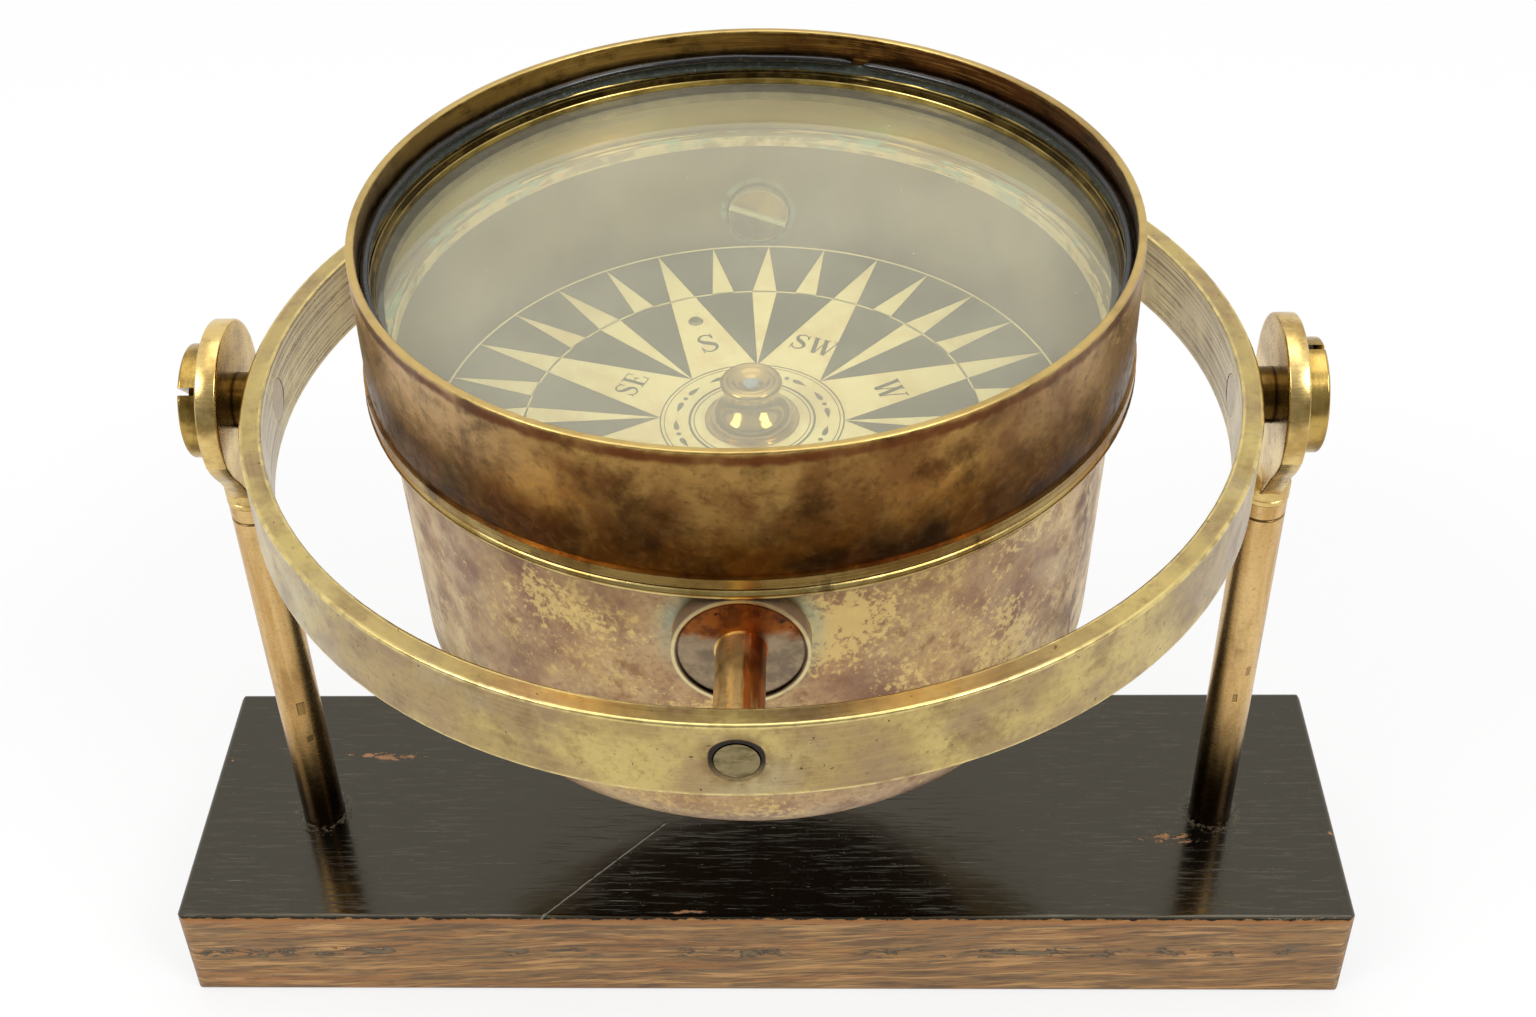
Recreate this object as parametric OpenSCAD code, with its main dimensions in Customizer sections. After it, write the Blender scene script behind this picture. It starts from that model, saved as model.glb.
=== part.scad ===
// Dry-card compass hung in a gimbal ring on a wooden display stand, in millimetres
// The origin is on the table, straight below the point where the two gimbal axes cross
// +X runs along the stand, -Y faces the viewer and +Z is up

/* [Stand] */
// Length of the wooden base
base_w = 200; // [184:1:240]
// Depth of the wooden base, front to back
base_d = 54; // [40:1:80]
// Height of the wooden base
base_h = 19.6; // [16:0.1:30]
// Rounding of the base's upright corners
base_corner = 2; // [1.6:0.1:5]
// Rounding of the base's other edges
base_edge = 1; // [0.4:0.1:1.5]
// How far the middle of the base lies behind the posts
base_back = 2.7; // [0:0.1:8]
// Diameter of the two posts
post_d = 7.2; // [6:0.1:8]
// Depth that each post goes into the base
post_sunk = 12; // [8:0.5:14]
// Height of the gimbal's pivots over the top of the base
pivot_rise = 91.4; // [84:0.1:120]
// Distance of the scribed line below the top of each post
line_drop = 2.8; // [1.5:0.1:6]
// Radius of the scribed line
line_r = 0.25; // [0.1:0.05:0.4]

/* [Eyes on the posts] */
// Diameter of the flat eye that carries the pivot screw
eye_d = 24.2; // [18:0.1:28]
// Thickness of the eye
eye_t = 3.2; // [2.6:0.1:5]
// Rounding of the eye's rim
eye_edge = 1.1; // [0.4:0.1:1.2]
// Distance from the eye's rim down to its foot
neck_h = 3.9; // [3:0.1:6]
// Height of the eye's turned foot
foot_h = 2.8; // [1.5:0.1:4]
// How far the foot stands out from its post
foot_proud = 0.1; // [0.05:0.05:0.4]
// Height of the cone between the foot and the neck
cone_h = 2.4; // [1:0.1:2.8]
// Diameter of the spigot that holds the eye in its post
spigot_d = 4; // [3:0.1:4.4]
// Length of that spigot
spigot_l = 9; // [5:0.5:14]

/* [Gimbal ring] */
// Outer diameter of the gimbal ring
ring_od = 149; // [142:0.5:156]
// Thickness of the ring
ring_t = 3.2; // [2.4:0.1:4]
// Height of the ring
ring_h = 12.4; // [10:0.1:16]
// Rounding of the ring's four edges
ring_edge = 0.4; // [0.2:0.1:0.8]
// Space between the ring and each eye
ring_gap = 2.7; // [2.4:0.1:5]

/* [Pivot screws] */
// Diameter of the slotted head
head_d = 17.2; // [13:0.1:20]
// Thickness of the slotted head
head_t = 3.3; // [2.4:0.1:5]
// Diameter of the smooth shoulder that turns in the eye
shoulder_d = 8.5; // [7:0.1:10]
// Diameter of the end that is screwed into the ring
tenon_d = 6.4; // [4:0.1:6.8]
// Width of the screw slots
slot_w = 1.1; // [0.8:0.1:2]
// Depth of the slots in the pivot screws
slot_deep = 1.8; // [0.8:0.1:2]
// Rounding of the heads' edge
head_edge = 0.4; // [0.1:0.1:0.8]
// Turn of the left screw's slot from level
left_slot_turn = 45; // [0:5:175]
// Turn of the right screw's slot from level
right_slot_turn = 90; // [0:5:175]

/* [Bowl] */
// Outer diameter of the upper case
case_od = 110.8; // [104:0.2:114]
// Wall of the upper case
case_wall = 1.2; // [0.9:0.1:2]
// Height of the upper case, from the rim to the bead
case_h = 19.8; // [16:0.1:24]
// Depth of the bowl's bottom below the pivots
bowl_drop = 44.4; // [36:0.1:50]
// How far the lower bowl is drawn in from the case
bowl_step = 2; // [1.6:0.1:3]
// How much narrower the lower bowl is where its rounding starts
bowl_taper = 1.4; // [0.5:0.1:4]
// Wall of the lower bowl
bowl_wall = 2.4; // [1.6:0.1:3]
// Rounding between the side and the bottom
bowl_round = 14; // [6:0.5:20]
// Height of the bead at the seam
bead_h = 3.6; // [3:0.1:5]
// How far the bead stands out from the case
bead_proud = 0.5; // [0.3:0.1:1.2]
// Width of the fine groove over the bead
groove_w = 0.25; // [0.1:0.05:0.4]
// Height of the lip that centres the case on the bead
lip_h = 0.9; // [0.5:0.1:2]

/* [Glass and its seat] */
// Depth of the glass below the rim
glass_drop = 8.3; // [6:0.1:9]
// Thickness of the glass
glass_t = 2.6; // [2:0.1:4]
// Thickness of the seat under the glass
seat_t = 1.4; // [0.8:0.1:2.5]
// Width of the seat
seat_w = 2.8; // [1.5:0.1:4]
// Height of the brass ring that holds the glass down
holder_h = 2.1; // [1:0.1:3]
// Width of that ring
holder_w = 1.9; // [1.2:0.1:3]
// Height of the putty fillet over the ring
putty_h = 1.1; // [0.5:0.1:1.4]
// Diameter of the black split wire in the rim
wire_d = 1.5; // [1:0.1:1.8]
// Part of a turn that the split wire leaves open
wire_open = 6; // [2:1:20]

/* [Trunnions] */
// Diameter of the round boss on the bowl
boss_d = 18.3; // [14:0.1:20]
// Space between the boss and the bead
boss_gap = 0.15; // [0.1:0.05:2]
// Height of the boss over the bowl's side
boss_t = 1.9; // [1:0.1:3]
// Width of the raised edge round the boss
brim_w = 0.8; // [0.5:0.1:1.5]
// Height of that raised edge
brim_h = 0.4; // [0.2:0.1:0.8]
// Diameter of the stem between the boss and the ring
stem_d = 6.6; // [6.4:0.1:8]
// Diameter of the pin in the ring
pin_d = 5.7; // [4:0.1:5.8]
// How far the pin's end lies inside the ring's outer face
pin_short = 0.2; // [0:0.1:1]
// Side play between the stem and the ring
stem_play = 0.4; // [0.1:0.1:1]
// Bevel round the mouth of each trunnion hole
hole_bevel = 0.4; // [0.1:0.1:0.6]
// Diameter of the screw that holds the trunnion
inner_screw_d = 4; // [3:0.1:5]
// Diameter of that screw's head inside the bowl
inner_head_d = 10; // [7:0.1:12]
// Thickness of that screw's head
inner_head_t = 1; // [0.8:0.1:1.2]
// How far that screw goes into the trunnion
inner_grip = 8; // [4:0.5:12]
// Turn of the rear screw's slot from level
rear_slot_turn = 20; // [0:5:175]

/* [Card and needle] */
// Space between the edge of the card and the bowl
card_gap = 1.8; // [1.6:0.1:4]
// Depth of the card's face below the pivot point
card_drop = 5.4; // [4:0.1:7]
// Thickness of the card
card_t = 0.8; // [0.5:0.1:1.5]
// Direction of north, turned from +X
north_turn = 290.5; // [0:0.5:359.5]
// Length of the magnet bar
needle_l = 88; // [60:1:90]
// Width of the magnet bar
needle_w = 7; // [5:0.1:10]
// Thickness of the magnet bar
needle_t = 2; // [1:0.1:3]
// Distance of each rivet from the middle of the card
rivet_r = 27.7; // [18:0.1:28]
// Diameter of a rivet's shank
rivet_d = 1.4; // [1:0.1:2]
// Diameter of a rivet's head
rivet_head_d = 2.5; // [2.2:0.1:4]

/* [Cap and pivot] */
// Diameter of the cap's dome
dome_d = 13.7; // [11:0.1:16]
// Diameter of the knob on the cap
knob_d = 9.3; // [7:0.1:10]
// Thickness of the knob
knob_t = 1.9; // [1.2:0.1:2.4]
// Height of the cap over the pivot point
cap_over = 2.2; // [1.8:0.1:4]
// Thickness of the cap's flange
flange_h = 0.6; // [0.3:0.1:1]
// How far the flange stands out from the dome
flange_proud = 0.3; // [0.1:0.1:0.8]
// Diameter of the cap's tube, which goes through the card
tube_d = 9.6; // [8:0.1:10]
// Diameter of the hollow in the tube
hollow_d = 6.4; // [5:0.1:6.6]
// Diameter of the jewel
jewel_d = 2.4; // [1.6:0.1:3]
// Diameter of the steel pivot
pivot_pin_d = 1.4; // [1:0.1:2]
// Depth that the steel pivot goes into its stem
pin_hold = 6.5; // [4:0.5:12]
// Diameter of the stem that carries the pivot
column_d = 6; // [5:0.1:8]
// Diameter of the stem's foot, which goes through the ballast
column_foot_d = 8; // [8:0.5:14]
// Space between the stem and the magnet bar over it
column_gap = 1.3; // [0.8:0.1:4]
// Bare floor left round the ballast weight
ballast_gap = 2; // [1:0.5:15]
// Thickness of the ballast weight
ballast_t = 9; // [5:0.5:14]

/* [Fits] */
// Radial clearance of the pivot screws in the eyes
running = 0.05; // [0.02:0.01:0.1]
// Radial clearance of the trunnion pins in the ring
pin_play = 0.1; // [0.05:0.01:0.2]
// Clearance between pieces that are pushed together
slip = 0.05; // [0.02:0.01:0.1]
// End play of the pivot screws
end_play = 0.3; // [0.1:0.1:0.6]
// Gap between the pivot's point and its cup
point_gap = 0.05; // [0.02:0.01:0.1]

/* [Hidden] */
$fn = 96;

brass_ring = "#B59A4A";
brass_dark = "#7E5B32";
brass_mottled = "#9C7F58";
brass_bright = "#D9B85C";
brass_rod = "#B08D56";

// Heights over the table
pivot_z = base_h + pivot_rise;
bead_z = pivot_z + boss_d / 2 + boss_gap;
case_z = bead_z + bead_h;
rim_z = case_z + case_h;
bottom_z = pivot_z - bowl_drop;
floor_z = bottom_z + bowl_wall;
glass_z = rim_z - glass_drop;
card_z = pivot_z - card_drop;
needle_z = card_z - card_t - needle_t;
column_top_z = needle_z - column_gap;
pin_foot_z = column_top_z - pin_hold;
foot_z = pivot_z - eye_d / 2 - neck_h;
post_top_z = foot_z - foot_h;

// Radii of the bowl
case_r = case_od / 2;
bore_r = case_r - case_wall;
bowl_r = case_r - bowl_step;
fitted_r = bore_r - slip;
bowl_top_z = case_z - bead_h / 5;
bowl_turn_z = bottom_z + bowl_round;

// Radius of the bowl's outside at a height on its side
function side_r(z) = bowl_r - bowl_taper * (bowl_top_z - z) / (bowl_top_z - bowl_turn_z);

// Places along X and Y
ring_r = ring_od / 2;
ring_in_r = ring_r - ring_t;
post_x = ring_r + ring_gap + eye_t / 2;
boss_y = side_r(pivot_z) + boss_t;
stem_y = ring_in_r - stem_play;
pin_y = ring_r - pin_short;
card_r = side_r(card_z) - bowl_wall - card_gap;

// Rectangle from the origin with four rounded corners
module soft_rect(w, h, r) {
  translate([r, 0]) square([w - 2 * r, h]);
  translate([0, r]) square([w, h - 2 * r]);
  for (x = [r, w - r], y = [r, h - r]) translate([x, y]) circle(r);
}

// Straight slot across a screw's head that faces +Z
module slot(length, width, depth, turn) {
  rotate(turn) translate([-length / 2, -width / 2, -depth]) cube([length, width, 2 * depth]);
}

// Half section of the lower bowl's outside, drawn in by an inset and carried up past its edge
module bowl_half(inset, over) {
  low_r = bowl_r - bowl_taper - inset;
  turn = bowl_round - inset;
  polygon([
    [0, bowl_turn_z], [low_r, bowl_turn_z], [bowl_r - inset, bowl_top_z],
    [bowl_r - inset, bowl_top_z + over], [0, bowl_top_z + over]
  ]);
  translate([0, bottom_z + inset]) square([low_r - turn, turn]);
  translate([low_r - turn, bowl_turn_z]) circle(turn);
}

module base() {
  color("#2B2420") difference() {
    translate([-base_w / 2, base_back - base_d / 2, 0]) intersection() {
      linear_extrude(base_h) soft_rect(base_w, base_d, base_corner);
      translate([0, base_d, 0]) rotate([90, 0, 0]) linear_extrude(base_d) soft_rect(base_w, base_h, base_edge);
      rotate([90, 0, 90]) linear_extrude(base_w) soft_rect(base_d, base_h, base_edge);
    }
    for (side = [-1, 1]) {
      translate([side * post_x, 0, base_h - post_sunk]) cylinder(d = post_d + 2 * slip, h = post_sunk + 1);
    }
  }
}

// Turned rod with a drilled top and one scribed line
module post(side) {
  color(brass_rod) translate([side * post_x, 0, 0]) difference() {
    translate([0, 0, base_h - post_sunk]) cylinder(d = post_d, h = post_top_z - base_h + post_sunk);
    translate([0, 0, post_top_z - spigot_l - slip]) cylinder(d = spigot_d + 2 * slip, h = spigot_l + 1);
    translate([0, 0, post_top_z - line_drop]) rotate_extrude() translate([post_d / 2, 0]) circle(line_r);
  }
}

module left_post() { post(-1); }
module right_post() { post(1); }

// Flat eye on a turned foot, whose spigot goes down into the post
module eye(side) {
  eye_r = eye_d / 2;
  foot_d = post_d + 2 * foot_proud;
  shoulder_x = eye_r * 0.71;
  shoulder_z = -sqrt(eye_r * eye_r - shoulder_x * shoulder_x);
  neck_z = foot_z - pivot_z;
  color(brass_bright) translate([side * post_x, 0, pivot_z]) difference() {
    union() {
      rotate([0, 90, 0]) rotate_extrude() {
        translate([0, -eye_t / 2]) square([eye_r - eye_edge, eye_t]);
        translate([0, -eye_t / 2 + eye_edge]) square([eye_r, eye_t - 2 * eye_edge]);
        for (y = [-1, 1]) translate([eye_r - eye_edge, y * (eye_t / 2 - eye_edge)]) circle(eye_edge);
      }
      translate([-eye_t / 2, 0, 0]) rotate([90, 0, 90]) linear_extrude(eye_t) polygon([
        [-foot_d / 2, neck_z], [foot_d / 2, neck_z], [shoulder_x, shoulder_z], [-shoulder_x, shoulder_z]
      ]);
      translate([0, 0, neck_z - foot_h]) cylinder(d = foot_d, h = foot_h);
      translate([0, 0, neck_z]) cylinder(d1 = foot_d, d2 = eye_t, h = cone_h);
      translate([0, 0, neck_z - foot_h - spigot_l]) cylinder(d = spigot_d, h = spigot_l + foot_h);
    }
    rotate([0, 90, 0]) cylinder(d = shoulder_d + 2 * running, h = 2 * eye_t, center = true);
  }
}

module left_eye() { eye(-1); }
module right_eye() { eye(1); }

module gimbal_ring() {
  hole_d = pin_d + 2 * pin_play;
  mouth = 2 * hole_bevel;
  color(brass_ring) difference() {
    rotate_extrude() translate([ring_in_r, pivot_z - ring_h / 2]) soft_rect(ring_t, ring_h, ring_edge);
    translate([0, 0, pivot_z]) {
      rotate([0, 90, 0]) cylinder(d = tenon_d + 2 * slip, h = 2 * ring_od, center = true);
      rotate([90, 0, 0]) cylinder(d = hole_d, h = 2 * ring_od, center = true);
      for (turn = [-90, 90]) rotate([turn, 0, 0]) {
        translate([0, 0, ring_r - hole_bevel]) cylinder(d1 = hole_d, d2 = hole_d + 2 * mouth, h = mouth);
      }
    }
  }
}

// Shoulder screw along X, drawn from the ring's bore out to its slotted head
module pivot_screw(side, turn) {
  head_x = post_x + eye_t / 2 + end_play;
  color(brass_bright) translate([0, 0, pivot_z]) rotate([0, 90 * side, 0]) difference() {
    union() {
      translate([0, 0, ring_in_r]) cylinder(d = tenon_d, h = ring_t + 1);
      translate([0, 0, ring_r]) cylinder(d = shoulder_d, h = head_x - ring_r + 1);
      translate([0, 0, head_x]) rotate_extrude() {
        square([head_d / 2, head_t - head_edge]);
        square([head_d / 2 - head_edge, head_t]);
        translate([head_d / 2 - head_edge, head_t - head_edge]) circle(head_edge);
      }
    }
    translate([0, 0, head_x + head_t]) slot(2 * head_d, slot_w, slot_deep, 90 + turn);
  }
}

module left_pivot_screw() { pivot_screw(-1, left_slot_turn); }
module right_pivot_screw() { pivot_screw(1, right_slot_turn); }

// Thin tube with a softened rim
module upper_case() {
  lip = case_wall / 4;
  color(brass_dark) rotate_extrude() {
    translate([bore_r, case_z]) square([case_wall, case_h - lip]);
    translate([bore_r + lip, case_z]) square([case_wall - 2 * lip, case_h]);
    for (r = [bore_r + lip, case_r - lip]) translate([r, rim_z - lip]) circle(lip);
  }
}

// Turned ring at the seam: a band and a round bead outside, a ledge and a centring lip inside
module seam_bead() {
  bead_r = case_r + bead_proud;
  bowl_in_r = bowl_r - bowl_wall;
  skirt_r = bowl_r + slip;
  round_r = bead_h / 4;
  band_z = bead_z + 2 * round_r + groove_w;
  color(brass_bright) rotate_extrude() {
    translate([bowl_in_r, bowl_top_z]) square([case_r - bowl_in_r, case_z - bowl_top_z]);
    translate([bowl_in_r, bowl_top_z]) square([fitted_r - bowl_in_r, case_z - bowl_top_z + lip_h]);
    translate([skirt_r, band_z]) square([bead_r - groove_w / 2 - skirt_r, case_z - band_z]);
    translate([skirt_r, bead_z]) square([bead_r - groove_w - round_r - skirt_r, bead_h]);
    translate([bead_r - round_r, bead_z + round_r]) circle(round_r);
  }
}

module lower_bowl() {
  color(brass_mottled) difference() {
    rotate_extrude() difference() {
      bowl_half(0, 0);
      bowl_half(bowl_wall, 1);
    }
    translate([0, 0, pivot_z]) rotate([90, 0, 0]) cylinder(d = inner_screw_d + 2 * slip, h = 3 * bowl_r, center = true);
  }
}

// Ring of rectangular section inside the case, between two heights
module inner_ring(width, low, high) {
  rotate_extrude() translate([fitted_r - width, low]) square([width, high - low]);
}

module glass_seat() {
  color(brass_dark) inner_ring(seat_w, glass_z - glass_t - seat_t, glass_z - glass_t);
}

module glass() {
  edge = 0.3;
  color("#C9CBB8", 0.35) rotate_extrude() {
    translate([0, glass_z - glass_t]) square([fitted_r - edge, glass_t]);
    translate([0, glass_z - glass_t + edge]) square([fitted_r, glass_t - 2 * edge]);
  }
}

module glass_holder() {
  color(brass_bright) inner_ring(holder_w, glass_z, glass_z + holder_h);
}

module glass_putty() {
  foot = glass_z + holder_h;
  color("#2E3A36") rotate_extrude() polygon([
    [fitted_r - holder_w, foot], [fitted_r, foot], [fitted_r, foot + putty_h]
  ]);
}

module split_wire() {
  wire_r = fitted_r - wire_d / 2;
  gap_turn = 72;
  color("#1C1B1C") translate([0, 0, glass_z + holder_h + putty_h + wire_d * 0.55]) {
    rotate(gap_turn + wire_open / 2) rotate_extrude(angle = 360 - wire_open) translate([wire_r, 0]) circle(d = wire_d);
  }
}

// Boss seated on the bowl's side, with its stem and pin along -Y before it is turned into place
module trunnion(turn) {
  color(brass_mottled) rotate(turn) difference() {
    translate([0, 0, pivot_z]) rotate([90, 0, 0]) difference() {
      union() {
        cylinder(d = boss_d, h = boss_y + brim_h);
        cylinder(d = stem_d, h = stem_y);
        cylinder(d = pin_d, h = pin_y);
      }
      translate([0, 0, boss_y]) difference() {
        cylinder(d = boss_d - 2 * brim_w, h = 2 * brim_h);
        cylinder(d = stem_d, h = 2 * brim_h);
      }
      cylinder(d = inner_screw_d + 2 * slip, h = side_r(pivot_z) + inner_grip + 0.5);
    }
    rotate_extrude() bowl_half(0, 0);
  }
}

module front_trunnion() { trunnion(0); }
module rear_trunnion() { trunnion(180); }

// Slotted screw from inside the bowl into a trunnion, along -Y before it is turned into place
module inner_screw(turn, slot_turn) {
  wall_r = side_r(pivot_z - inner_head_d / 2) - bowl_wall;
  seat_y = sqrt(wall_r * wall_r - inner_head_d * inner_head_d / 4) - slip;
  color(brass_mottled) rotate(turn) translate([0, 0, pivot_z]) rotate([90, 0, 0]) difference() {
    union() {
      translate([0, 0, seat_y - inner_head_t]) cylinder(d = inner_head_d, h = inner_head_t);
      translate([0, 0, seat_y - 0.5]) cylinder(d = inner_screw_d, h = side_r(pivot_z) + inner_grip - seat_y + 0.5);
    }
    translate([0, 0, seat_y - inner_head_t]) slot(2 * inner_head_d, slot_w, inner_head_t * 0.6, slot_turn);
  }
}

module front_inner_screw() { inner_screw(0, 0); }
module rear_inner_screw() { inner_screw(180, rear_slot_turn); }

// Flat lead weight on the floor of the bowl
module ballast() {
  floor_r = bowl_r - bowl_taper - bowl_round;
  color("#6B6F73") translate([0, 0, floor_z]) difference() {
    cylinder(r = floor_r - ballast_gap, h = ballast_t);
    translate([0, 0, -1]) cylinder(d = column_foot_d + 2 * slip, h = ballast_t + 2);
  }
}

// Stem on the floor of the bowl, stepped over the ballast and drawn in to a nose that holds the pivot
module pivot_column() {
  step_h = 1.5;
  nose_h = 4;
  nose_d = pivot_pin_d + 1.6;
  color(brass_bright) difference() {
    translate([0, 0, floor_z]) union() {
      cylinder(d = column_foot_d, h = ballast_t + step_h);
      cylinder(d = column_d, h = column_top_z - nose_h - floor_z);
      translate([0, 0, column_top_z - nose_h - floor_z]) cylinder(d1 = column_d, d2 = nose_d, h = nose_h);
    }
    translate([0, 0, pin_foot_z]) cylinder(d = pivot_pin_d + 2 * slip, h = pin_hold + 1);
  }
}

module pivot_pin() {
  point_h = 3;
  point_d = 0.1;
  color("#8F949A") {
    translate([0, 0, pin_foot_z]) cylinder(d = pivot_pin_d, h = pivot_z - point_h - pin_foot_z);
    translate([0, 0, pivot_z - point_h]) cylinder(d1 = pivot_pin_d, d2 = point_d, h = point_h);
  }
}

// Two rivet holes on the card's north line
module rivet_holes(low, high) {
  for (r = [-rivet_r, rivet_r]) translate([r, 0, low]) cylinder(d = rivet_d + 2 * slip, h = high - low);
}

module card() {
  color("#E9DDB4") rotate(north_turn) difference() {
    translate([0, 0, card_z - card_t]) cylinder(r = card_r, h = card_t);
    translate([0, 0, card_z - card_t - 1]) cylinder(d = tube_d + 2 * slip, h = card_t + 2);
    rivet_holes(card_z - card_t - 1, card_z + 1);
  }
}

cup_h = 1.2;
cup_z = pivot_z + point_gap - cup_h;

// Turned cap: flange, dome, neck and dished knob over the tube that grips card and magnet
module card_cap() {
  dome_r = dome_d / 2;
  knob_r = knob_d / 2;
  neck_r = knob_r - knob_t * 0.4;
  neck_z = card_drop + cap_over - knob_t;
  dome_h = neck_z - flange_h;
  arc_r = (pow(dome_r - neck_r, 2) + dome_h * dome_h) / (2 * (dome_r - neck_r));
  seat_h = 0.45;
  vault_h = 1.9;
  vault_z = cup_z + seat_h - vault_h;
  tube_over = 0.6;
  dish_r = 6;
  dish_deep = 0.45;
  color(brass_bright) difference() {
    translate([0, 0, card_z]) rotate_extrude() {
      translate([0, -card_t - needle_t - tube_over]) square([tube_d / 2, card_t + needle_t + tube_over]);
      square([dome_r + flange_proud, flange_h]);
      intersection() {
        translate([dome_r - arc_r, flange_h]) circle(arc_r);
        translate([0, flange_h]) square([dome_r, dome_h]);
      }
      square([neck_r, neck_z + knob_t / 2]);
      translate([0, neck_z]) square([knob_r - knob_t / 2, knob_t]);
      translate([knob_r - knob_t / 2, neck_z + knob_t / 2]) circle(knob_t / 2);
    }
    translate([0, 0, needle_z - 2]) cylinder(d = hollow_d, h = vault_z - needle_z + 2);
    translate([0, 0, vault_z]) cylinder(d1 = hollow_d, d2 = jewel_d, h = vault_h);
    translate([0, 0, needle_z]) cylinder(d = jewel_d + 2 * slip, h = pivot_z + cap_over + 1 - needle_z);
    translate([0, 0, pivot_z + cap_over + dish_r - dish_deep]) sphere(r = dish_r);
  }
}

// Jewel with a conical cup for the pivot's point
module cap_jewel() {
  cup_d = 0.3;
  sunk = 0.8;
  color("#8FA3C8") difference() {
    translate([0, 0, cup_z]) cylinder(d = jewel_d, h = pivot_z + cap_over - sunk - cup_z);
    translate([0, 0, cup_z]) cylinder(d1 = jewel_d * 0.8, d2 = cup_d, h = cup_h);
  }
}

// Magnet bar with tapered ends and a wide middle round the cap's tube
module needle() {
  hub_d = tube_d + 5;
  tip_w = needle_w / 2;
  color("#4A4D52") rotate(north_turn) difference() {
    translate([0, 0, needle_z]) linear_extrude(needle_t) {
      polygon([
        [-needle_l / 2, -tip_w / 2], [-needle_l / 2 + needle_w, -needle_w / 2],
        [needle_l / 2 - needle_w, -needle_w / 2], [needle_l / 2, -tip_w / 2],
        [needle_l / 2, tip_w / 2], [needle_l / 2 - needle_w, needle_w / 2],
        [-needle_l / 2 + needle_w, needle_w / 2], [-needle_l / 2, tip_w / 2]
      ]);
      circle(d = hub_d);
    }
    translate([0, 0, needle_z - 1]) cylinder(d = tube_d + 2 * slip, h = needle_t + 2);
    rivet_holes(needle_z - 1, card_z);
  }
}

// Rivet through card and magnet, on the card's north line at a distance from the middle
module rivet(r) {
  head_h = 0.4;
  face_d = rivet_head_d * 0.7;
  color("#6E6A5E") rotate(north_turn) translate([r, 0, needle_z]) {
    translate([0, 0, -head_h]) cylinder(d1 = face_d, d2 = rivet_head_d, h = head_h);
    cylinder(d = rivet_d, h = card_z - needle_z);
    translate([0, 0, card_z - needle_z]) cylinder(d1 = rivet_head_d, d2 = face_d, h = head_h);
  }
}

module north_rivet() { rivet(rivet_r); }
module south_rivet() { rivet(-rivet_r); }

base();
left_post();
right_post();
left_eye();
right_eye();
gimbal_ring();
left_pivot_screw();
right_pivot_screw();
upper_case();
seam_bead();
lower_bowl();
glass_seat();
glass();
glass_holder();
glass_putty();
split_wire();
front_trunnion();
rear_trunnion();
front_inner_screw();
rear_inner_screw();
ballast();
pivot_column();
pivot_pin();
card();
card_cap();
cap_jewel();
needle();
north_rivet();
south_rivet();
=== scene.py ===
"""An old dry-card compass in its gimbal ring on a wooden stand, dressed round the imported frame.

The frame gives every solid. This script paints them with procedural materials, draws the card's rose,
rings and letters as thin printed pieces, and rebuilds the turned and the weathered pieces as fine
surfaces. One frame is used throughout: metres, origin on the table under the gimbal's pivots, +X
along the base, +Y to the back, +Z up.
"""

from __future__ import annotations

import logging
import math
from dataclasses import dataclass, field
from enum import Enum

import bpy
import numpy as np
from mathutils import Matrix, Vector


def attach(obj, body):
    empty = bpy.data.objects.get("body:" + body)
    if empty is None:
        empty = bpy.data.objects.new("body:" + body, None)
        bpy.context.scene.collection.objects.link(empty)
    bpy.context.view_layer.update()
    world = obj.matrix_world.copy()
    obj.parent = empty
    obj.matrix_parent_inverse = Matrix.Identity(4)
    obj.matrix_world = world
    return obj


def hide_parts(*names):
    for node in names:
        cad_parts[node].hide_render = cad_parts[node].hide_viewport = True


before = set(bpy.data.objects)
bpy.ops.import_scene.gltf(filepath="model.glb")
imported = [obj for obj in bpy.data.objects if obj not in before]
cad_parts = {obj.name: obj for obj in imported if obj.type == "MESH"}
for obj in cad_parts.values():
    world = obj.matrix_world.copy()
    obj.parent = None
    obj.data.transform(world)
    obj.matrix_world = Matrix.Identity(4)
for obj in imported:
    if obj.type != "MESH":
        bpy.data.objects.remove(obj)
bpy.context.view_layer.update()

LOG = logging.getLogger("compass")

MM = 0.001

# Places that several pieces share, in millimetres, the same as in part.scad.
PIVOT_MM = 111.0  # the gimbal's two axes over the table
POST_MM = 78.8  # each post's axis from the middle
BASE_TOP_MM = 19.6
CARD_FACE_MM = 105.6
GLASS_LOW_MM = 132.0
RIM_TOP_MM = 143.7
SEAM_TOP_MM = 123.9

Socket = bpy.types.NodeSocket
NodeTree = bpy.types.NodeTree
Material = bpy.types.Material
Value = float | Socket
Colour = str | Socket  # a hex code, or a socket that carries a colour
Shell = tuple[np.ndarray, list]  # points, shape (n, 3), and faces as lists of point numbers


# --- colours and nodes


def linear(code: str) -> tuple[float, float, float, float]:
    """Turns an sRGB hex colour into linear values.

    Args:
        code: Six hex digits, such as "C8A860".

    Returns:
        Linear red, green and blue, and an alpha of 1.
    """
    srgb = [int(code[i : i + 2], 16) / 255 for i in (0, 2, 4)]
    rgb = [v / 12.92 if v <= 0.04045 else ((v + 0.055) / 1.055) ** 2.4 for v in srgb]
    return (*rgb, 1.0)


def add(tree: NodeTree, kind: str, inputs: dict | None = None, **settings: object) -> bpy.types.Node:
    """Adds one node with its settings, values and links.

    Args:
        tree: The node tree that takes the node.
        kind: The node's type name without the leading "ShaderNode".
        inputs: Input name or number to a value, or to the output socket that feeds it.
        settings: Properties of the node itself.

    Returns:
        The new node.
    """
    node = tree.nodes.new("ShaderNode" + kind)
    for name, value in settings.items():
        setattr(node, name, value)
    for key, value in (inputs or {}).items():
        if isinstance(value, Socket):
            tree.links.new(value, node.inputs[key])
        else:
            node.inputs[key].default_value = value
    return node


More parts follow.
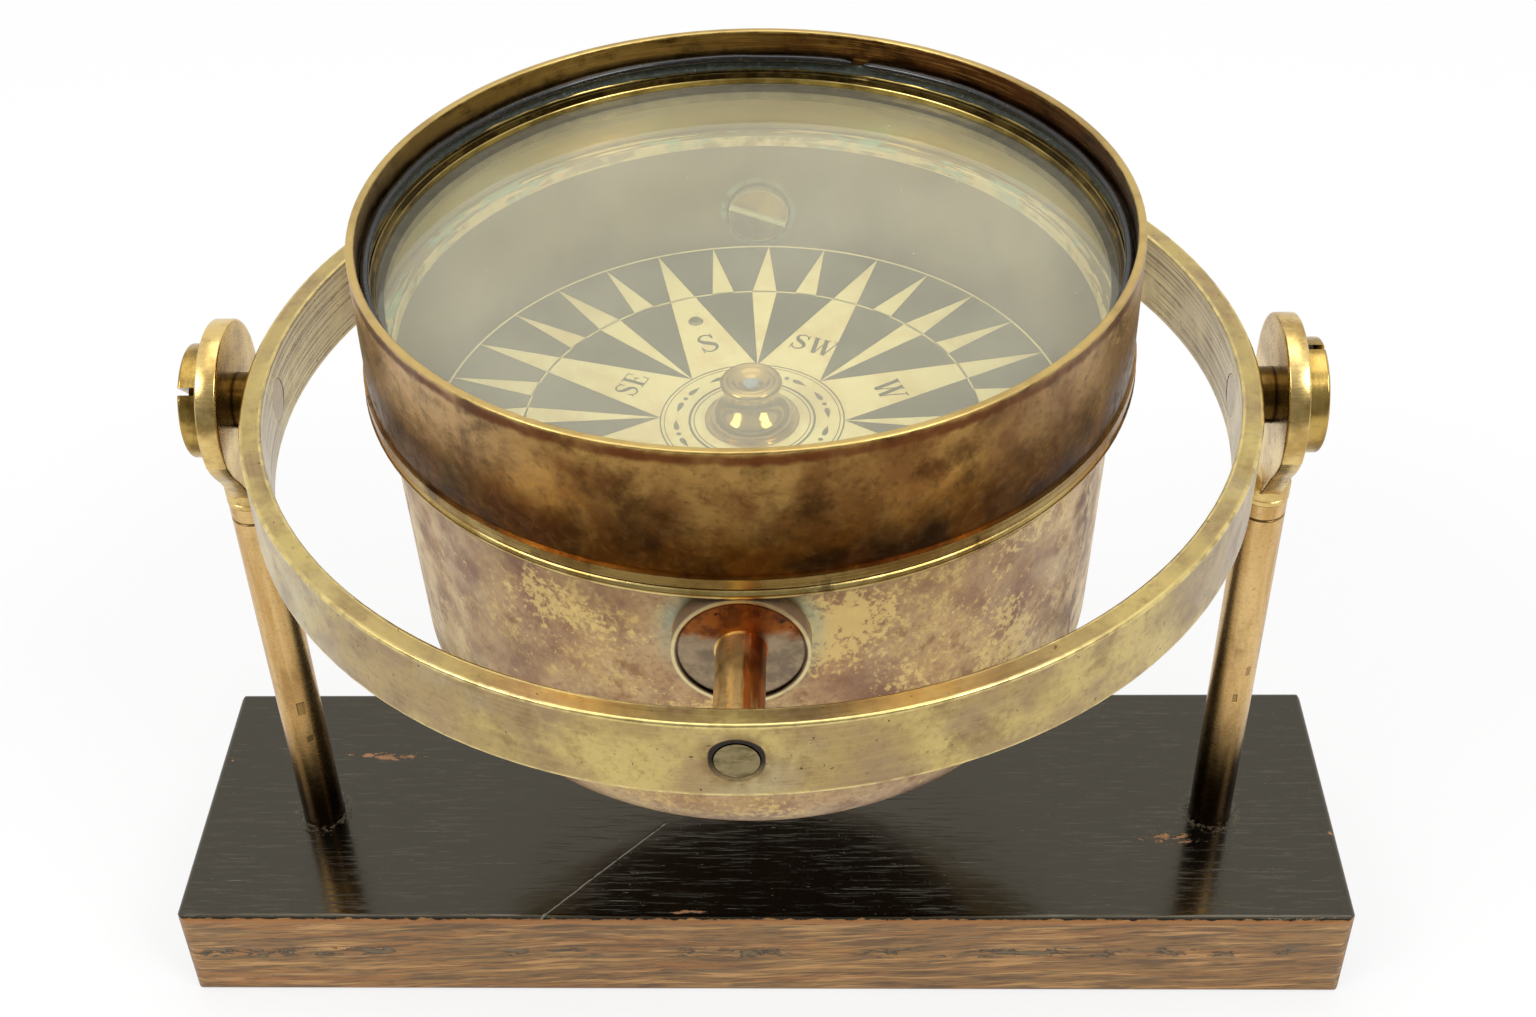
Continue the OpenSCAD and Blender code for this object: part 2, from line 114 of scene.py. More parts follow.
class Paint:
    """One material's node tree, with the patterns that several finishes share."""

    def __init__(self, name: str) -> None:
        """Starts an empty material and its coordinates in millimetres.

        Args:
            name: The finish in a maker's words.
        """
        self.material = bpy.data.materials.new(name)
        self.material.use_nodes = True
        self.tree = self.material.node_tree
        self.tree.nodes.clear()
        place = add(self.tree, "TexCoord").outputs["Object"]
        self.mm = add(self.tree, "VectorMath", {0: place, "Scale": 1 / MM}, operation="SCALE").outputs[0]
        split = add(self.tree, "SeparateXYZ", {0: self.mm})
        self.x, self.y, self.z = split.outputs

    def node(self, kind: str, *values: Value | tuple[float, float, float], **settings: object) -> Socket:
        """Adds a node that takes the values in order.

        Args:
            kind: The node's type name, then its operation where it has one, such as "Math ADD".
            values: Sockets, numbers or vectors.
            settings: Properties of the node itself.

        Returns:
            Its first output.
        """
        name, _, operation = kind.partition(" ")
        if operation:
            settings["operation"] = operation
        return add(self.tree, name, dict(enumerate(values)), **settings).outputs[0]

    def stretched(self, x: float, y: float, z: float, source: Socket | None = None) -> Socket:
        """Gives coordinates times a factor along each axis: a pattern is drawn out where the factor is small."""
        return self.node("VectorMath MULTIPLY", source or self.mm, (x, y, z))

    def grain(
        self, size_mm: float, source: Socket | None = None, detail: float = 4, rough: float = 0.55, twist: float = 0.0,
        seed: float = 0.0,
    ) -> Socket:
        """Gives noise from 0 to 1.

        Args:
            size_mm: About how wide a lump is.
            source: Coordinates to use instead of the part's own in millimetres.
            detail: How many finer layers are added.
            rough: How strong the finer layers are.
            twist: How far the lumps are bent out of shape.
            seed: Another one gives another pattern.

        Returns:
            The noise.
        """
        inputs = {
            "Vector": source or self.mm, "W": seed, "Scale": 1 / size_mm, "Detail": detail, "Roughness": rough,
            "Distortion": twist,
        }
        return add(self.tree, "TexNoise", inputs, noise_dimensions="4D").outputs["Fac"]

    def between(self, value: Value, low: float, high: float, to_low: float = 0.0, to_high: float = 1.0) -> Socket:
        """Gives a soft step: to_low below low, to_high above high."""
        inputs = {"Value": value, "From Min": low, "From Max": high, "To Min": to_low, "To Max": to_high}
        return add(self.tree, "MapRange", inputs, interpolation_type="SMOOTHSTEP").outputs[0]

    def blotches(
        self, size_mm: float, low: float, high: float, detail: float = 6, twist: float = 0.3, seed: float = 0.0
    ) -> Socket:
        """Gives a mask of patches about size_mm across: 0 between them and 1 inside."""
        return self.between(self.grain(size_mm, None, detail, 0.6, twist, seed), low, high)

    def patches(
        self, coarse_mm: float, fine_mm: float, low: float, high: float, seed: float = 0.0, weight: float = 0.62
    ) -> Socket:
        """Gives patches about coarse_mm across whose borders break up into specks about fine_mm across.

        Args:
            coarse_mm: Size of the patches.
            fine_mm: Size of the specks.
            low: The sum of both noises where the mask starts.
            high: The sum where the mask is full.
            seed: Another one gives another pattern.
            weight: The patches' share of the sum.

        Returns:
            A mask from 0 to 1.
        """
        coarse = self.grain(coarse_mm, None, 2, 0.5, 0.2, seed)
        fine = self.node("Math MULTIPLY", self.grain(fine_mm, None, 4, 0.65, 0.2, seed + 3), 1 - weight)
        return self.between(self.node("Math MULTIPLY_ADD", coarse, weight, fine), low, high)

    def band(self, value: Value, centre: float, half: float, soft: float) -> Socket:
        """Gives 1 within half of a centre value, and 0 beyond soft more."""
        away = self.node("Math ABSOLUTE", self.node("Math SUBTRACT", value, centre))
        return self.between(away, half, half + soft, 1.0, 0.0)

    def both(self, *masks: Value) -> Socket:
        """Gives the product of masks and numbers.

        Args:
            masks: Sockets or numbers.

        Returns:
            Their product.
        """
        result = masks[0]
        for mask in masks[1:]:
            result = self.node("Math MULTIPLY", result, mask)
        return result

    def either(self, *masks: Value) -> Socket:
        """Gives the greatest of masks and numbers.

        Args:
            masks: Sockets or numbers.

        Returns:
            The greatest.
        """
        result = masks[0]
        for mask in masks[1:]:
            result = self.node("Math MAXIMUM", result, mask)
        return result

    def mix(self, mask: Value, a: Colour, b: Colour) -> Socket:
        """Gives colour a where the mask is 0 and b where it is 1; a and b are hex codes or sockets."""
        a, b = (linear(v) if isinstance(v, str) else v for v in (a, b))
        return add(self.tree, "Mix", {0: mask, 6: a, 7: b}, data_type="RGBA").outputs[2]

    def lay(self, colour: Colour, over: Colour, pattern: Value, low: float, high: float, share: float = 1.0) -> Socket:
        """Lays a second colour over the first: none of it below low of a pattern, and its share above high."""
        return self.mix(self.between(pattern, low, high, 0.0, share), colour, over)

    def mix_value(self, mask: Value, a: Value, b: Value) -> Socket:
        """Gives number a where the mask is 0 and b where it is 1."""
        return add(self.tree, "Mix", {0: mask, 2: a, 3: b}).outputs[0]

    def radius(self, x: Socket | None = None, y: Socket | None = None) -> Socket:
        """Gives the distance from an axis, in millimetres; the vertical axis by default."""
        square = self.node("Math MULTIPLY", x or self.x, x or self.x)
        return self.node("Math SQRT", self.node("Math MULTIPLY_ADD", y or self.y, y or self.y, square))

    def turned(self, line_mm: float, reach_mm: float, seed: float = 0.0) -> Socket:
        """Gives fine lines left by a lathe or a brush round the vertical axis: line_mm apart, reach_mm long.

        Args:
            line_mm: Distance from line to line.
            reach_mm: Length of a line.
            seed: Another one gives other lines.

        Returns:
            Noise from 0 to 1.
        """
        level = self.node("Math ADD", self.z, self.radius())
        lines = self.node("CombineXYZ", self.x, self.y, level)
        return self.grain(1.0, self.stretched(1 / reach_mm, 1 / reach_mm, 1 / line_mm, lines), 3, 0.6, 0.0, seed)

    def bump(self, height: Value, depth_mm: float, below: Socket | None = None) -> Socket:
        """Gives a normal raised by a height map of depth_mm, on top of another one if given.

        Args:
            height: The height map, from 0 to 1.
            depth_mm: The real height of 1.
            below: Another bump that this one lies on.

        Returns:
            The normal.
        """
        inputs = {"Height": height, "Distance": depth_mm * MM, "Strength": 1.0}
        if below is not None:
            inputs["Normal"] = below
        return add(self.tree, "Bump", inputs).outputs[0]

    def finish(self, colour: Colour, roughness: Value, normal: Socket | None = None, **values: object) -> Material:
        """Closes the material with one shader.

        Args:
            colour: Base colour, a hex code or a socket.
            roughness: A number or a socket.
            normal: The bump's output, if any.
            values: Other inputs by name, with underscores for spaces.

        Returns:
            The finished material.
        """
        inputs = {"Base Color": linear(colour) if isinstance(colour, str) else colour, "Roughness": roughness}
        inputs.update({name.replace("_", " "): value for name, value in values.items()})
        if normal is not None:
            inputs["Normal"] = normal
        shader = add(self.tree, "BsdfPrincipled", inputs)
        add(self.tree, "OutputMaterial", {"Surface": shader.outputs[0]})
        return self.material


# --- finishes


@dataclass(frozen=True)
class AgedRingBrass:
    """Rolled brass strip, brushed along its length and left to tarnish.

    The eye sees soft olive, gold and pinkish brown clouds, with grey clouds painted among them as a sheen,
    rubbed corners painted brighter as a highlight, dark pits, painted shade in the mouth of the pin's hole,
    and on the inside the black lines of the file.
    """

    bright: str = "CDB773"
    olive: str = "AC9460"
    pink: str = "9C8263"
    brown: str = "7E6542"
    # painted sheen
    grey: str = "B4AC8E"
    dirt: str = "4A3820"
    pale: str = "CBBE98"
    # rubbed corners, painted brighter as a highlight
    corner: str = "ECD68E"
    # painted shade in the mouth of the pin's hole
    painted_hole_shade: str = "24180C"
    level_mm: float = PIVOT_MM
    half_height_mm: float = 6.2
    inner_mm: float = 71.3
    outer_mm: float = 74.5
    hole_mm: float = 2.95

    def clouds(self, p: Paint, lines: Socket) -> Socket:
        """Builds the tarnish: soft clouds one over the other, grey ones among them painted as a sheen, a fine mottle
        and the brush lines.

        Args:
            p: The material's nodes.
            lines: The noise of the brush lines.

        Returns:
            The colour.
        """
        colour = p.lay(self.olive, self.pink, p.grain(10, detail=6, rough=0.6, seed=1), 0.38, 0.62)
        colour = p.lay(colour, self.bright, p.grain(15, detail=6, rough=0.62, seed=9), 0.48, 0.66, 0.85)
        # grey clouds: a sheen of reflected light, painted in random patches
        colour = p.lay(colour, self.grey, p.grain(22, detail=4, seed=14), 0.52, 0.68, 0.6)
        colour = p.lay(colour, self.brown, p.grain(6, detail=6, rough=0.65, seed=5), 0.5, 0.7, 0.7)
        colour = p.lay(colour, self.brown, p.grain(0.9, detail=4, rough=0.65, seed=6), 0.46, 0.74, 0.45)
        return p.lay(colour, self.bright, lines, 0.42, 0.75, 0.3)

    def material(self) -> Material:
        """Builds the material.

        Returns:
            The finished material.
        """
        p = Paint("Brushed_strip_brass_tarnished")
        radius = p.radius()
        lines = p.turned(0.16, 16)
        colour = self.clouds(p, lines)
        inside = p.between(radius, self.inner_mm + 0.2, self.inner_mm + 0.7, 1.0, 0.0)
        colour = p.mix(p.both(inside, 0.5), colour, self.pale)
        filed = p.both(inside, p.between(p.turned(0.34, 60, 4), 0.5, 0.6), p.blotches(16, 0.36, 0.54, seed=2))
        colour = p.mix(p.both(filed, 0.6), colour, self.dirt)
        pits = p.blotches(0.8, 0.69, 0.72, 2, 0.0, seed=6)
        colour = p.mix(p.both(pits, 0.85), colour, self.dirt)
        height = p.node("Math ABSOLUTE", p.node("Math SUBTRACT", p.z, self.level_mm))
        ragged = p.between(p.grain(2.2, detail=5), 0.36, 0.6, 0.2, 1.0)
        # the corners: rubbed, and painted bright as a highlight along the outer and inner edges
        corner = p.between(height, self.half_height_mm - 0.75, self.half_height_mm - 0.25)
        corner = p.both(corner, p.between(radius, self.outer_mm - 0.75, self.outer_mm - 0.2), ragged)
        inner_corner_wear_and_highlight = p.both(
            p.between(height, self.half_height_mm - 0.3, self.half_height_mm - 0.1),
            p.band(radius, self.inner_mm, 0.3, 0.4), ragged,
        )
        colour = p.mix(p.both(p.either(corner, inner_corner_wear_and_highlight), 0.9), colour, self.corner)
        top = p.both(
            p.between(height, self.half_height_mm - 0.2, self.half_height_mm - 0.05),
            p.between(p.grain(7, detail=5, seed=12), 0.4, 0.62, 0.1, 0.65),
        )
        colour = p.mix(top, colour, self.bright)
        side = p.node("Math SUBTRACT", p.z, self.level_mm)
        hole = p.node("Math SUBTRACT", p.radius(p.x, side), p.between(side, 0.0, 2.6, 0.0, 0.4))
        # painted shade: the mouth of the pin's hole darkened as shadow, most on its upper side
        painted_hole_shade = p.both(
            p.between(hole, self.hole_mm + 0.45, self.hole_mm + 0.7, 1.0, 0.0), p.between(side, -2.6, 0.4, 0.35, 1.0)
        )
        stain = p.both(
            p.between(hole, self.hole_mm + 0.5, self.hole_mm + 2.6, 0.7, 0.0),
            p.between(p.grain(3, detail=5), 0.35, 0.6),
        )
        colour = p.mix(painted_hole_shade, p.mix(stain, colour, self.brown), self.painted_hole_shade)
        rough = p.node("Math ADD", p.blotches(5, 0.4, 0.65, 4, seed=3), p.both(painted_hole_shade, 4.0))
        normal = p.bump(lines, 0.012)
        normal = p.bump(filed, 0.03, normal)
        normal = p.bump(p.node("Math SUBTRACT", 1.0, pits), 0.12, normal)
        return p.finish(
            colour, p.between(rough, 0.0, 4.0, 0.28, 0.8), normal, Metallic=p.between(painted_hole_shade, 0.0, 1.0, 1.0, 0.2)
        )


@dataclass(frozen=True)
class DarkCaseBrass:
    """Thin spun brass under an old brown patina.

    The eye sees soft golden and dark clouds, a dark foot, a rim rubbed to bare brass with a reddish
    line under it, and a khaki inside.
    """

    patina: str = "76522B"
    deep: str = "342009"
    amber: str = "7A4E14"
    gold: str = "A37F47"
    # painted highlight
    pale: str = "D2B184"
    red: str = "5E3219"
    rim: str = "C6AA68"
    khaki: str = "C9BE98"
    inner_gold: str = "84693A"
    inner_red: str = "57331A"
    dark_brown: str = "241608"
    rim_mm: float = RIM_TOP_MM
    foot_mm: float = SEAM_TOP_MM
    glass_mm: float = GLASS_LOW_MM
    bore_mm: float = 54.2

    def outside(self, p: Paint) -> Socket:
        """Builds the patina outside: clouds, painted highlights at front left and front right, a dark foot, and thin
        red lines at foot and rim.

        Args:
            p: The material's nodes.

        Returns:
            The colour.
        """
        round_about = p.node("Math ARCTAN2", p.y, p.x)
        colour = p.lay(self.patina, self.gold, p.grain(12, detail=7, rough=0.6, twist=0.2, seed=1), 0.4, 0.62)
        # painted highlights: paler bands where the two front lamps gleam on the case, strongest at front left
        left = p.both(p.band(round_about, -2.62, 0.1, 0.6), p.between(p.z, self.foot_mm + 2, self.rim_mm - 5), 0.9)
        right = p.both(p.band(round_about, -0.45, 0.1, 0.5), p.between(p.z, self.foot_mm + 2, self.rim_mm - 5), 0.5)
        colour = p.mix(p.either(left, right), colour, self.pale)
        colour = p.lay(colour, self.deep, p.grain(8, detail=7, rough=0.62, seed=7), 0.46, 0.66, 0.8)
        colour = p.lay(colour, self.deep, p.grain(1.5, detail=4, rough=0.65, seed=3), 0.48, 0.74, 0.5)
        drift = p.node("Math MULTIPLY", p.grain(9, detail=5, rough=0.6), 14.0)
        foot = p.between(p.node("Math SUBTRACT", p.z, drift), self.foot_mm - 7.5, self.foot_mm + 4.5, 0.95, 0.0)
        amber = p.lay(self.amber, self.deep, p.grain(11, detail=5, seed=17), 0.42, 0.58)
        colour = p.mix(foot, colour, amber)
        red = p.both(p.between(p.grain(9, detail=6, seed=4), 0.5, 0.68), 0.45)
        near_rim = p.band(p.node("Math ADD", p.z, p.both(p.grain(3), 1.4)), self.rim_mm - 0.5, 0.25, 0.9)
        near_rim = p.both(near_rim, p.between(p.grain(12, seed=8), 0.35, 0.6, 0.25, 0.9))
        seam = p.both(p.band(p.z, self.foot_mm + 0.3, 0.2, 0.4), 0.4)
        return p.mix(p.either(red, near_rim, seam), colour, self.red)

    def material(self) -> Material:
        """Builds the material.

        Returns:
            The finished material.
        """
        p = Paint("Spun_brass_brown_patina")
        inside = p.between(p.radius(), self.bore_mm + 0.1, self.bore_mm + 0.5, 1.0, 0.0)
        streaks = p.between(p.turned(0.4, 14, 2), 0.35, 0.65)
        upper = p.lay(self.inner_gold, self.inner_red, p.node("Math ADD", p.x, p.both(streaks, 24.0)), -10, 45)
        upper = p.lay(upper, self.dark_brown, p.grain(5, detail=6, rough=0.65, seed=3), 0.46, 0.7, 0.8)
        upper = p.lay(upper, self.gold, p.turned(0.3, 9, 7), 0.5, 0.66, 0.6)
        # darker towards the putty and wire at the foot of this wall
        upper = p.lay(upper, self.dark_brown, p.z, self.glass_mm + 8.2, self.glass_mm + 6.6, 0.75)
        below = p.between(p.z, self.glass_mm - 0.5, self.glass_mm + 0.5, 1.0, 0.0)
        colour = p.mix(inside, self.outside(p), p.mix(below, upper, self.khaki))
        rim = p.between(p.node("Math ADD", p.z, p.both(p.grain(2.5), 0.7)), self.rim_mm - 0.05, self.rim_mm + 0.25)
        colour = p.mix(p.both(rim, p.between(p.grain(7, detail=5, seed=5), 0.35, 0.6, 0.6, 0.95)), colour, self.rim)
        fine = p.blotches(1.5, 0.42, 0.7, 5)
        normal = p.bump(fine, 0.015)
        normal = p.bump(p.turned(0.3, 12), 0.008, normal)
        return p.finish(
            colour, p.between(fine, 0.0, 1.0, 0.3, 0.44), normal, Metallic=p.mix_value(p.both(inside, below), 1.0, 0.75)
        )


@dataclass(frozen=True)
class MottledBowlBrass:
    """Cast and turned brass whose outside has tarnished in patches.

    The eye sees pinkish brown and purple, specks and streaks of bare gold, reddish tide marks, a grey
    green bloom round the trunnions' bosses, and a smooth khaki inside with some verdigris.
    """

    tarnish: str = "AD8963"
    violet: str = "87644F"
    pale: str = "C7AC80"
    gold: str = "D8BC76"
    red: str = "74442A"
    tide: str = "5A2E16"
    verdigris: str = "8E9C86"
    side: str = "E8D2A8"
    # painted shade under the bowl
    under: str = "2C1E12"
    khaki: str = "897F59"
    dusk: str = "716845"
    bloom: str = "9CCCC8"
    screw_line: str = "544C30"
    fleck: str = "8A6A3A"
    level_mm: float = PIVOT_MM
    screw_mm: float = 5.15
    boss_mm: float = 9.15
    corner_mm: float = 38.0
    under_mm: float = 66.8
    turn_mm: float = 80.6
    taper: float = 0.0329
    half_wall_mm: float = 12.8

    def inside(self, p: Paint) -> Socket:
        """Gives 1 on the bowl's inner wall: nearer than the wall's middle to its rounded corner's centre line.

        Args:
            p: The material's nodes.

        Returns:
            The mask.
        """
        rise = p.either(p.node("Math SUBTRACT", p.z, self.turn_mm), 0.0)
        out = p.node("Math SUBTRACT", p.node("Math SUBTRACT", p.radius(), self.corner_mm), p.both(rise, self.taper))
        out = p.either(out, 0.0)
        low = p.node("Math MINIMUM", p.node("Math SUBTRACT", p.z, self.turn_mm), 0.0)
        return p.between(p.radius(out, low), self.half_wall_mm - 0.3, self.half_wall_mm + 0.3, 1.0, 0.0)

    def mottle(self, p: Paint, gold: Socket) -> Socket:
        """Builds the outside: soft tarnish, a fine mottle, bare gold, red patches and two thin tide marks.

        Args:
            p: The material's nodes.
            gold: The mask of the patches of bare gold.

        Returns:
            The colour.
        """
        colour = p.lay(self.tarnish, self.violet, p.grain(8, detail=7, rough=0.64, twist=0.2, seed=1), 0.4, 0.6)
        colour = p.lay(colour, self.pale, p.grain(18, detail=5, seed=8), 0.45, 0.64, 0.7)
        fine = p.grain(0.9, detail=5, rough=0.7, seed=2)
        colour = p.lay(colour, self.violet, fine, 0.44, 0.7, 0.65)
        bare = p.between(p.grain(15, detail=4, rough=0.55, twist=0.3, seed=21), 0.46, 0.6)
        flecks = p.between(p.grain(1.4, p.stretched(1, 1, 0.8), 6, 0.72, 0.4, 12), 0.47, 0.62)
        colour = p.mix(p.both(bare, flecks, 0.62), colour, self.gold)
        colour = p.mix(p.both(bare, 0.15), colour, self.gold)
        colour = p.mix(p.both(gold, 0.72), colour, self.gold)
        colour = p.lay(colour, self.red, p.grain(9, detail=7, rough=0.65, seed=11), 0.56, 0.66, 0.6)
        wander = p.both(p.node("Math SUBTRACT", p.grain(6, detail=6), 0.5), 0.16)
        round_about = p.node("Math ADD", p.node("Math ARCTAN2", p.y, p.x), wander)
        marks = p.either(p.band(round_about, -2.78, 0.006, 0.02), p.band(round_about, -0.44, 0.004, 0.02))
        near = p.both(p.band(round_about, -0.46, 0.04, 0.12), p.blotches(4, 0.4, 0.6), 0.6)
        aside = p.either(p.band(round_about, -2.8, 0.0, 0.7), p.band(round_about, -0.3, 0.0, 0.7))
        aside = p.both(aside, p.between(p.grain(5, detail=6, seed=15), 0.36, 0.62, 0.15, 0.95))
        colour = p.mix(aside, colour, self.side)
        # painted shade: the bowl's lowest band darkened as the shadow under it
        colour = p.mix(p.between(p.z, self.under_mm, self.under_mm + 1.4, 0.88, 0.0), colour, self.under)
        marks = p.both(marks, p.between(p.grain(5, detail=4), 0.42, 0.55), 0.75)
        return p.mix(p.either(marks, near), colour, self.tide)

    def wall(self, p: Paint, side: Socket) -> Socket:
        """Builds the smooth inside, with verdigris round the inner screws.

        Args:
            p: The material's nodes.
            side: Height over the gimbal's axes, in millimetres.

        Returns:
            The colour.
        """
        wall = p.lay(self.khaki, self.dusk, p.grain(18, detail=4, seed=12), 0.4, 0.65)
        screw = p.radius(p.x, side)
        green = p.both(
            p.band(screw, 5.6, 0.3, 0.9), p.between(p.grain(2.2), 0.35, 0.6),
            p.between(p.node("Math ADD", side, p.x), 3.0, -3.0, 0.35, 1.0),
        )
        wall = p.mix(p.both(green, 0.9), wall, self.bloom)
        wall = p.mix(p.both(p.band(screw, self.screw_mm, 0.12, 0.2), 0.9), wall, self.screw_line)
        return p.mix(p.both(p.blotches(1.4, 0.67, 0.72, seed=4), 0.6), wall, self.fleck)

    def material(self) -> Material:
        """Builds the material.

        Returns:
            The finished material.
        """
        p = Paint("Turned_brass_mottled")
        gold = p.patches(12, 1.0, 0.535, 0.6, 5, weight=0.5)
        colour = self.mottle(p, gold)
        side = p.node("Math SUBTRACT", p.z, self.level_mm)
        halo = p.radius(p.x, side)
        ring = p.both(
            p.between(halo, self.boss_mm, self.boss_mm + 0.2),
            p.between(halo, self.boss_mm + 0.3, self.boss_mm + 3.2, 1.0, 0.0),
        )
        ring = p.both(ring, p.between(side, -6, 6, 0.25, 0.75), p.between(p.grain(4), 0.3, 0.6, 0.6, 1.0))
        colour = p.mix(ring, colour, self.verdigris)
        inside = self.inside(p)
        colour = p.mix(inside, colour, self.wall(p, side))
        outside = p.node("Math SUBTRACT", 1.0, inside)
        normal = p.bump(p.both(p.grain(0.9, detail=5, rough=0.7, seed=2), outside), 0.025)
        normal = p.bump(p.both(p.grain(5, detail=2, seed=6), outside), 0.12, normal)
        rough = p.node("Math SUBTRACT", 0.42, p.both(gold, 0.1))
        return p.finish(colour, p.mix_value(inside, rough, 0.36), normal, Metallic=p.mix_value(inside, 1.0, 0.6))


@dataclass(frozen=True)
class BossBrass:
    """The trunnions: turned brass with an iron-brown stain over the stem, a rubbed brim, and a streaked stem painted
    lighter on its left as a highlight.
    """

    face: str = "988469"
    dusk: str = "756552"
    stain: str = "9A561C"
    rust: str = "66330F"
    spot: str = "341A09"
    brim: str = "D8C692"
    # painted highlight on the stem
    stem_highlight: str = "F0D08E"
    stem_red: str = "A6602C"
    stem_dull: str = "A5805A"
    pin: str = "8C7E5A"
    pin_dark: str = "655A3C"
    khaki: str = "B2A676"
    head_low: str = "7C7350"
    head_high: str = "E0C886"
    head_edge: str = "E4E2C4"
    slot: str = "EAF2E4"
    level_mm: float = PIVOT_MM
    head_mm: float = 4.8
    brim_mm: float = 8.62
    brim_out_mm: float = 55.1
    stem_mm: float = 3.3
    slot_deg: float = 20.0

    def screw(self, p: Paint, side: Socket, radius: Socket) -> tuple[Socket, Socket]:
        """Builds the inner screw's head: lit above, dull below, with a pale edge and slot.

        Args:
            p: The material's nodes.
            side: Height over the gimbal's axes, in millimetres.
            radius: Distance from the trunnions' axis, in millimetres.

        Returns:
            The head's colour, and the mask of its slot.
        """
        head = p.lay(self.head_low, self.head_high, p.node("Math MULTIPLY_ADD", p.x, 0.36, side), -0.8, 1.2)
        head = p.lay(head, self.khaki, p.grain(1.6, detail=4), 0.4, 0.7, 0.5)
        turn = math.radians(self.slot_deg)
        away = p.node("Math ABSOLUTE", p.node("Math MULTIPLY_ADD", p.x, math.sin(turn), p.both(side, math.cos(turn))))
        slot = p.both(p.between(away, 0.5, 0.62, 1.0, 0.0), p.between(p.y, 0, 1))
        head = p.mix(p.both(slot, 0.9), head, self.slot)
        return p.lay(head, self.head_edge, radius, self.head_mm - 0.15, self.head_mm, 0.7), slot

    def material(self) -> Material:
        """Builds the material.

        Returns:
            The finished material.
        """
        p = Paint("Turned_brass_stained")
        side = p.node("Math SUBTRACT", p.z, self.level_mm)
        radius = p.radius(p.x, side)
        colour = p.lay(self.face, self.dusk, p.grain(4, detail=6, rough=0.65, seed=2), 0.4, 0.62)
        ragged = p.node("Math ADD", side, p.both(p.node("Math SUBTRACT", p.grain(3.2, detail=6), 0.5), 6.0))
        stain = p.between(ragged, 1.6, 3.4)
        orange = p.lay(self.stain, self.rust, p.grain(2.0, detail=5), 0.4, 0.65)
        orange = p.mix(p.blotches(1.1, 0.6, 0.68, 4, seed=5), orange, self.spot)
        colour = p.mix(p.both(stain, 0.92), colour, orange)
        groove = p.both(p.band(radius, self.brim_mm - 0.28, 0.08, 0.2), 0.7)
        colour = p.mix(groove, colour, self.spot)
        far = p.node("Math ABSOLUTE", p.y)
        brim = p.both(
            p.between(radius, self.brim_mm - 0.05, self.brim_mm + 0.1),
            p.between(far, self.brim_out_mm - 0.1, self.brim_out_mm + 0.1),
        )
        colour = p.mix(p.both(brim, p.between(p.grain(3, detail=4), 0.3, 0.55, 0.5, 0.95)), colour, self.brim)
        stem = p.between(radius, self.stem_mm + 0.05, self.stem_mm + 0.35, 1.0, 0.0)
        # painted highlight: the stem lighter on its left and redder on its right, with streaks
        stem_streaks_and_highlight = p.node("Math MULTIPLY_ADD", p.x, 0.05, p.grain(1.0, p.stretched(0.4, 0.05, 0.4), 4, 0.6, 0.0, 3))
        rod = p.lay(self.stem_highlight, self.stem_red, stem_streaks_and_highlight, 0.45, 0.62)
        rod = p.lay(rod, self.stem_dull, p.grain(1.4, detail=5, seed=2), 0.5, 0.68, 0.5)
        colour = p.mix(stem, colour, rod)
        patch = p.grain(1.3, p.stretched(0.5, 1, 1.2), 5, 0.65, 0.2, 9)
        pin = p.lay(self.pin, self.pin_dark, patch, 0.42, 0.66)
        colour = p.lay(colour, pin, far, 72.5, 73.2)
        within = p.between(far, 51.4, 51.9, 1.0, 0.0)
        head, slot = self.screw(p, side, radius)
        colour = p.mix(within, colour, head)
        normal = p.bump(p.grain(1.2, detail=5, rough=0.65), 0.03)
        edge = p.both(p.between(radius, self.brim_mm + 0.38, self.brim_mm + 0.5), 0.65)
        colour = p.mix(edge, colour, self.face)
        return p.finish(
            colour, p.node("Math ADD", p.both(stain, 0.12), 0.3), normal,
            Metallic=p.node("Math SUBTRACT", 1.0, p.either(edge, p.both(slot, within))),
        )


@dataclass(frozen=True)
class RubbedBrass:
    """Turned brass polished by handling: olive gold with brown left in places and fine scratches."""

    bright: str = "CBAF6C"
    warm: str = "96783F"
    brown: str = "664A24"
    name: str = "Turned_brass_rubbed_bright"
    gloss: float = 0.16
    worn: float = 0.5
    line_mm: float = 0.3

    def material(self) -> Material:
        """Builds the material.

        Returns:
            The finished material.
        """
        p = Paint(self.name)
        colour = p.lay(self.bright, self.warm, p.grain(6, detail=5, rough=0.6, seed=1), 0.4, 0.66)
        specks = p.between(p.grain(3, detail=6, rough=0.65, seed=4), 0.5, 0.68)
        colour = p.mix(p.both(specks, self.worn), colour, self.brown)
        scratch = p.grain(1.0, p.stretched(0.3, 1 / self.line_mm, 1 / self.line_mm), 3, 0.6)
        rough = p.between(scratch, 0.3, 0.8, self.gloss, self.gloss + 0.12)
        return p.finish(colour, rough, p.bump(scratch, 0.0015), Metallic=1.0)


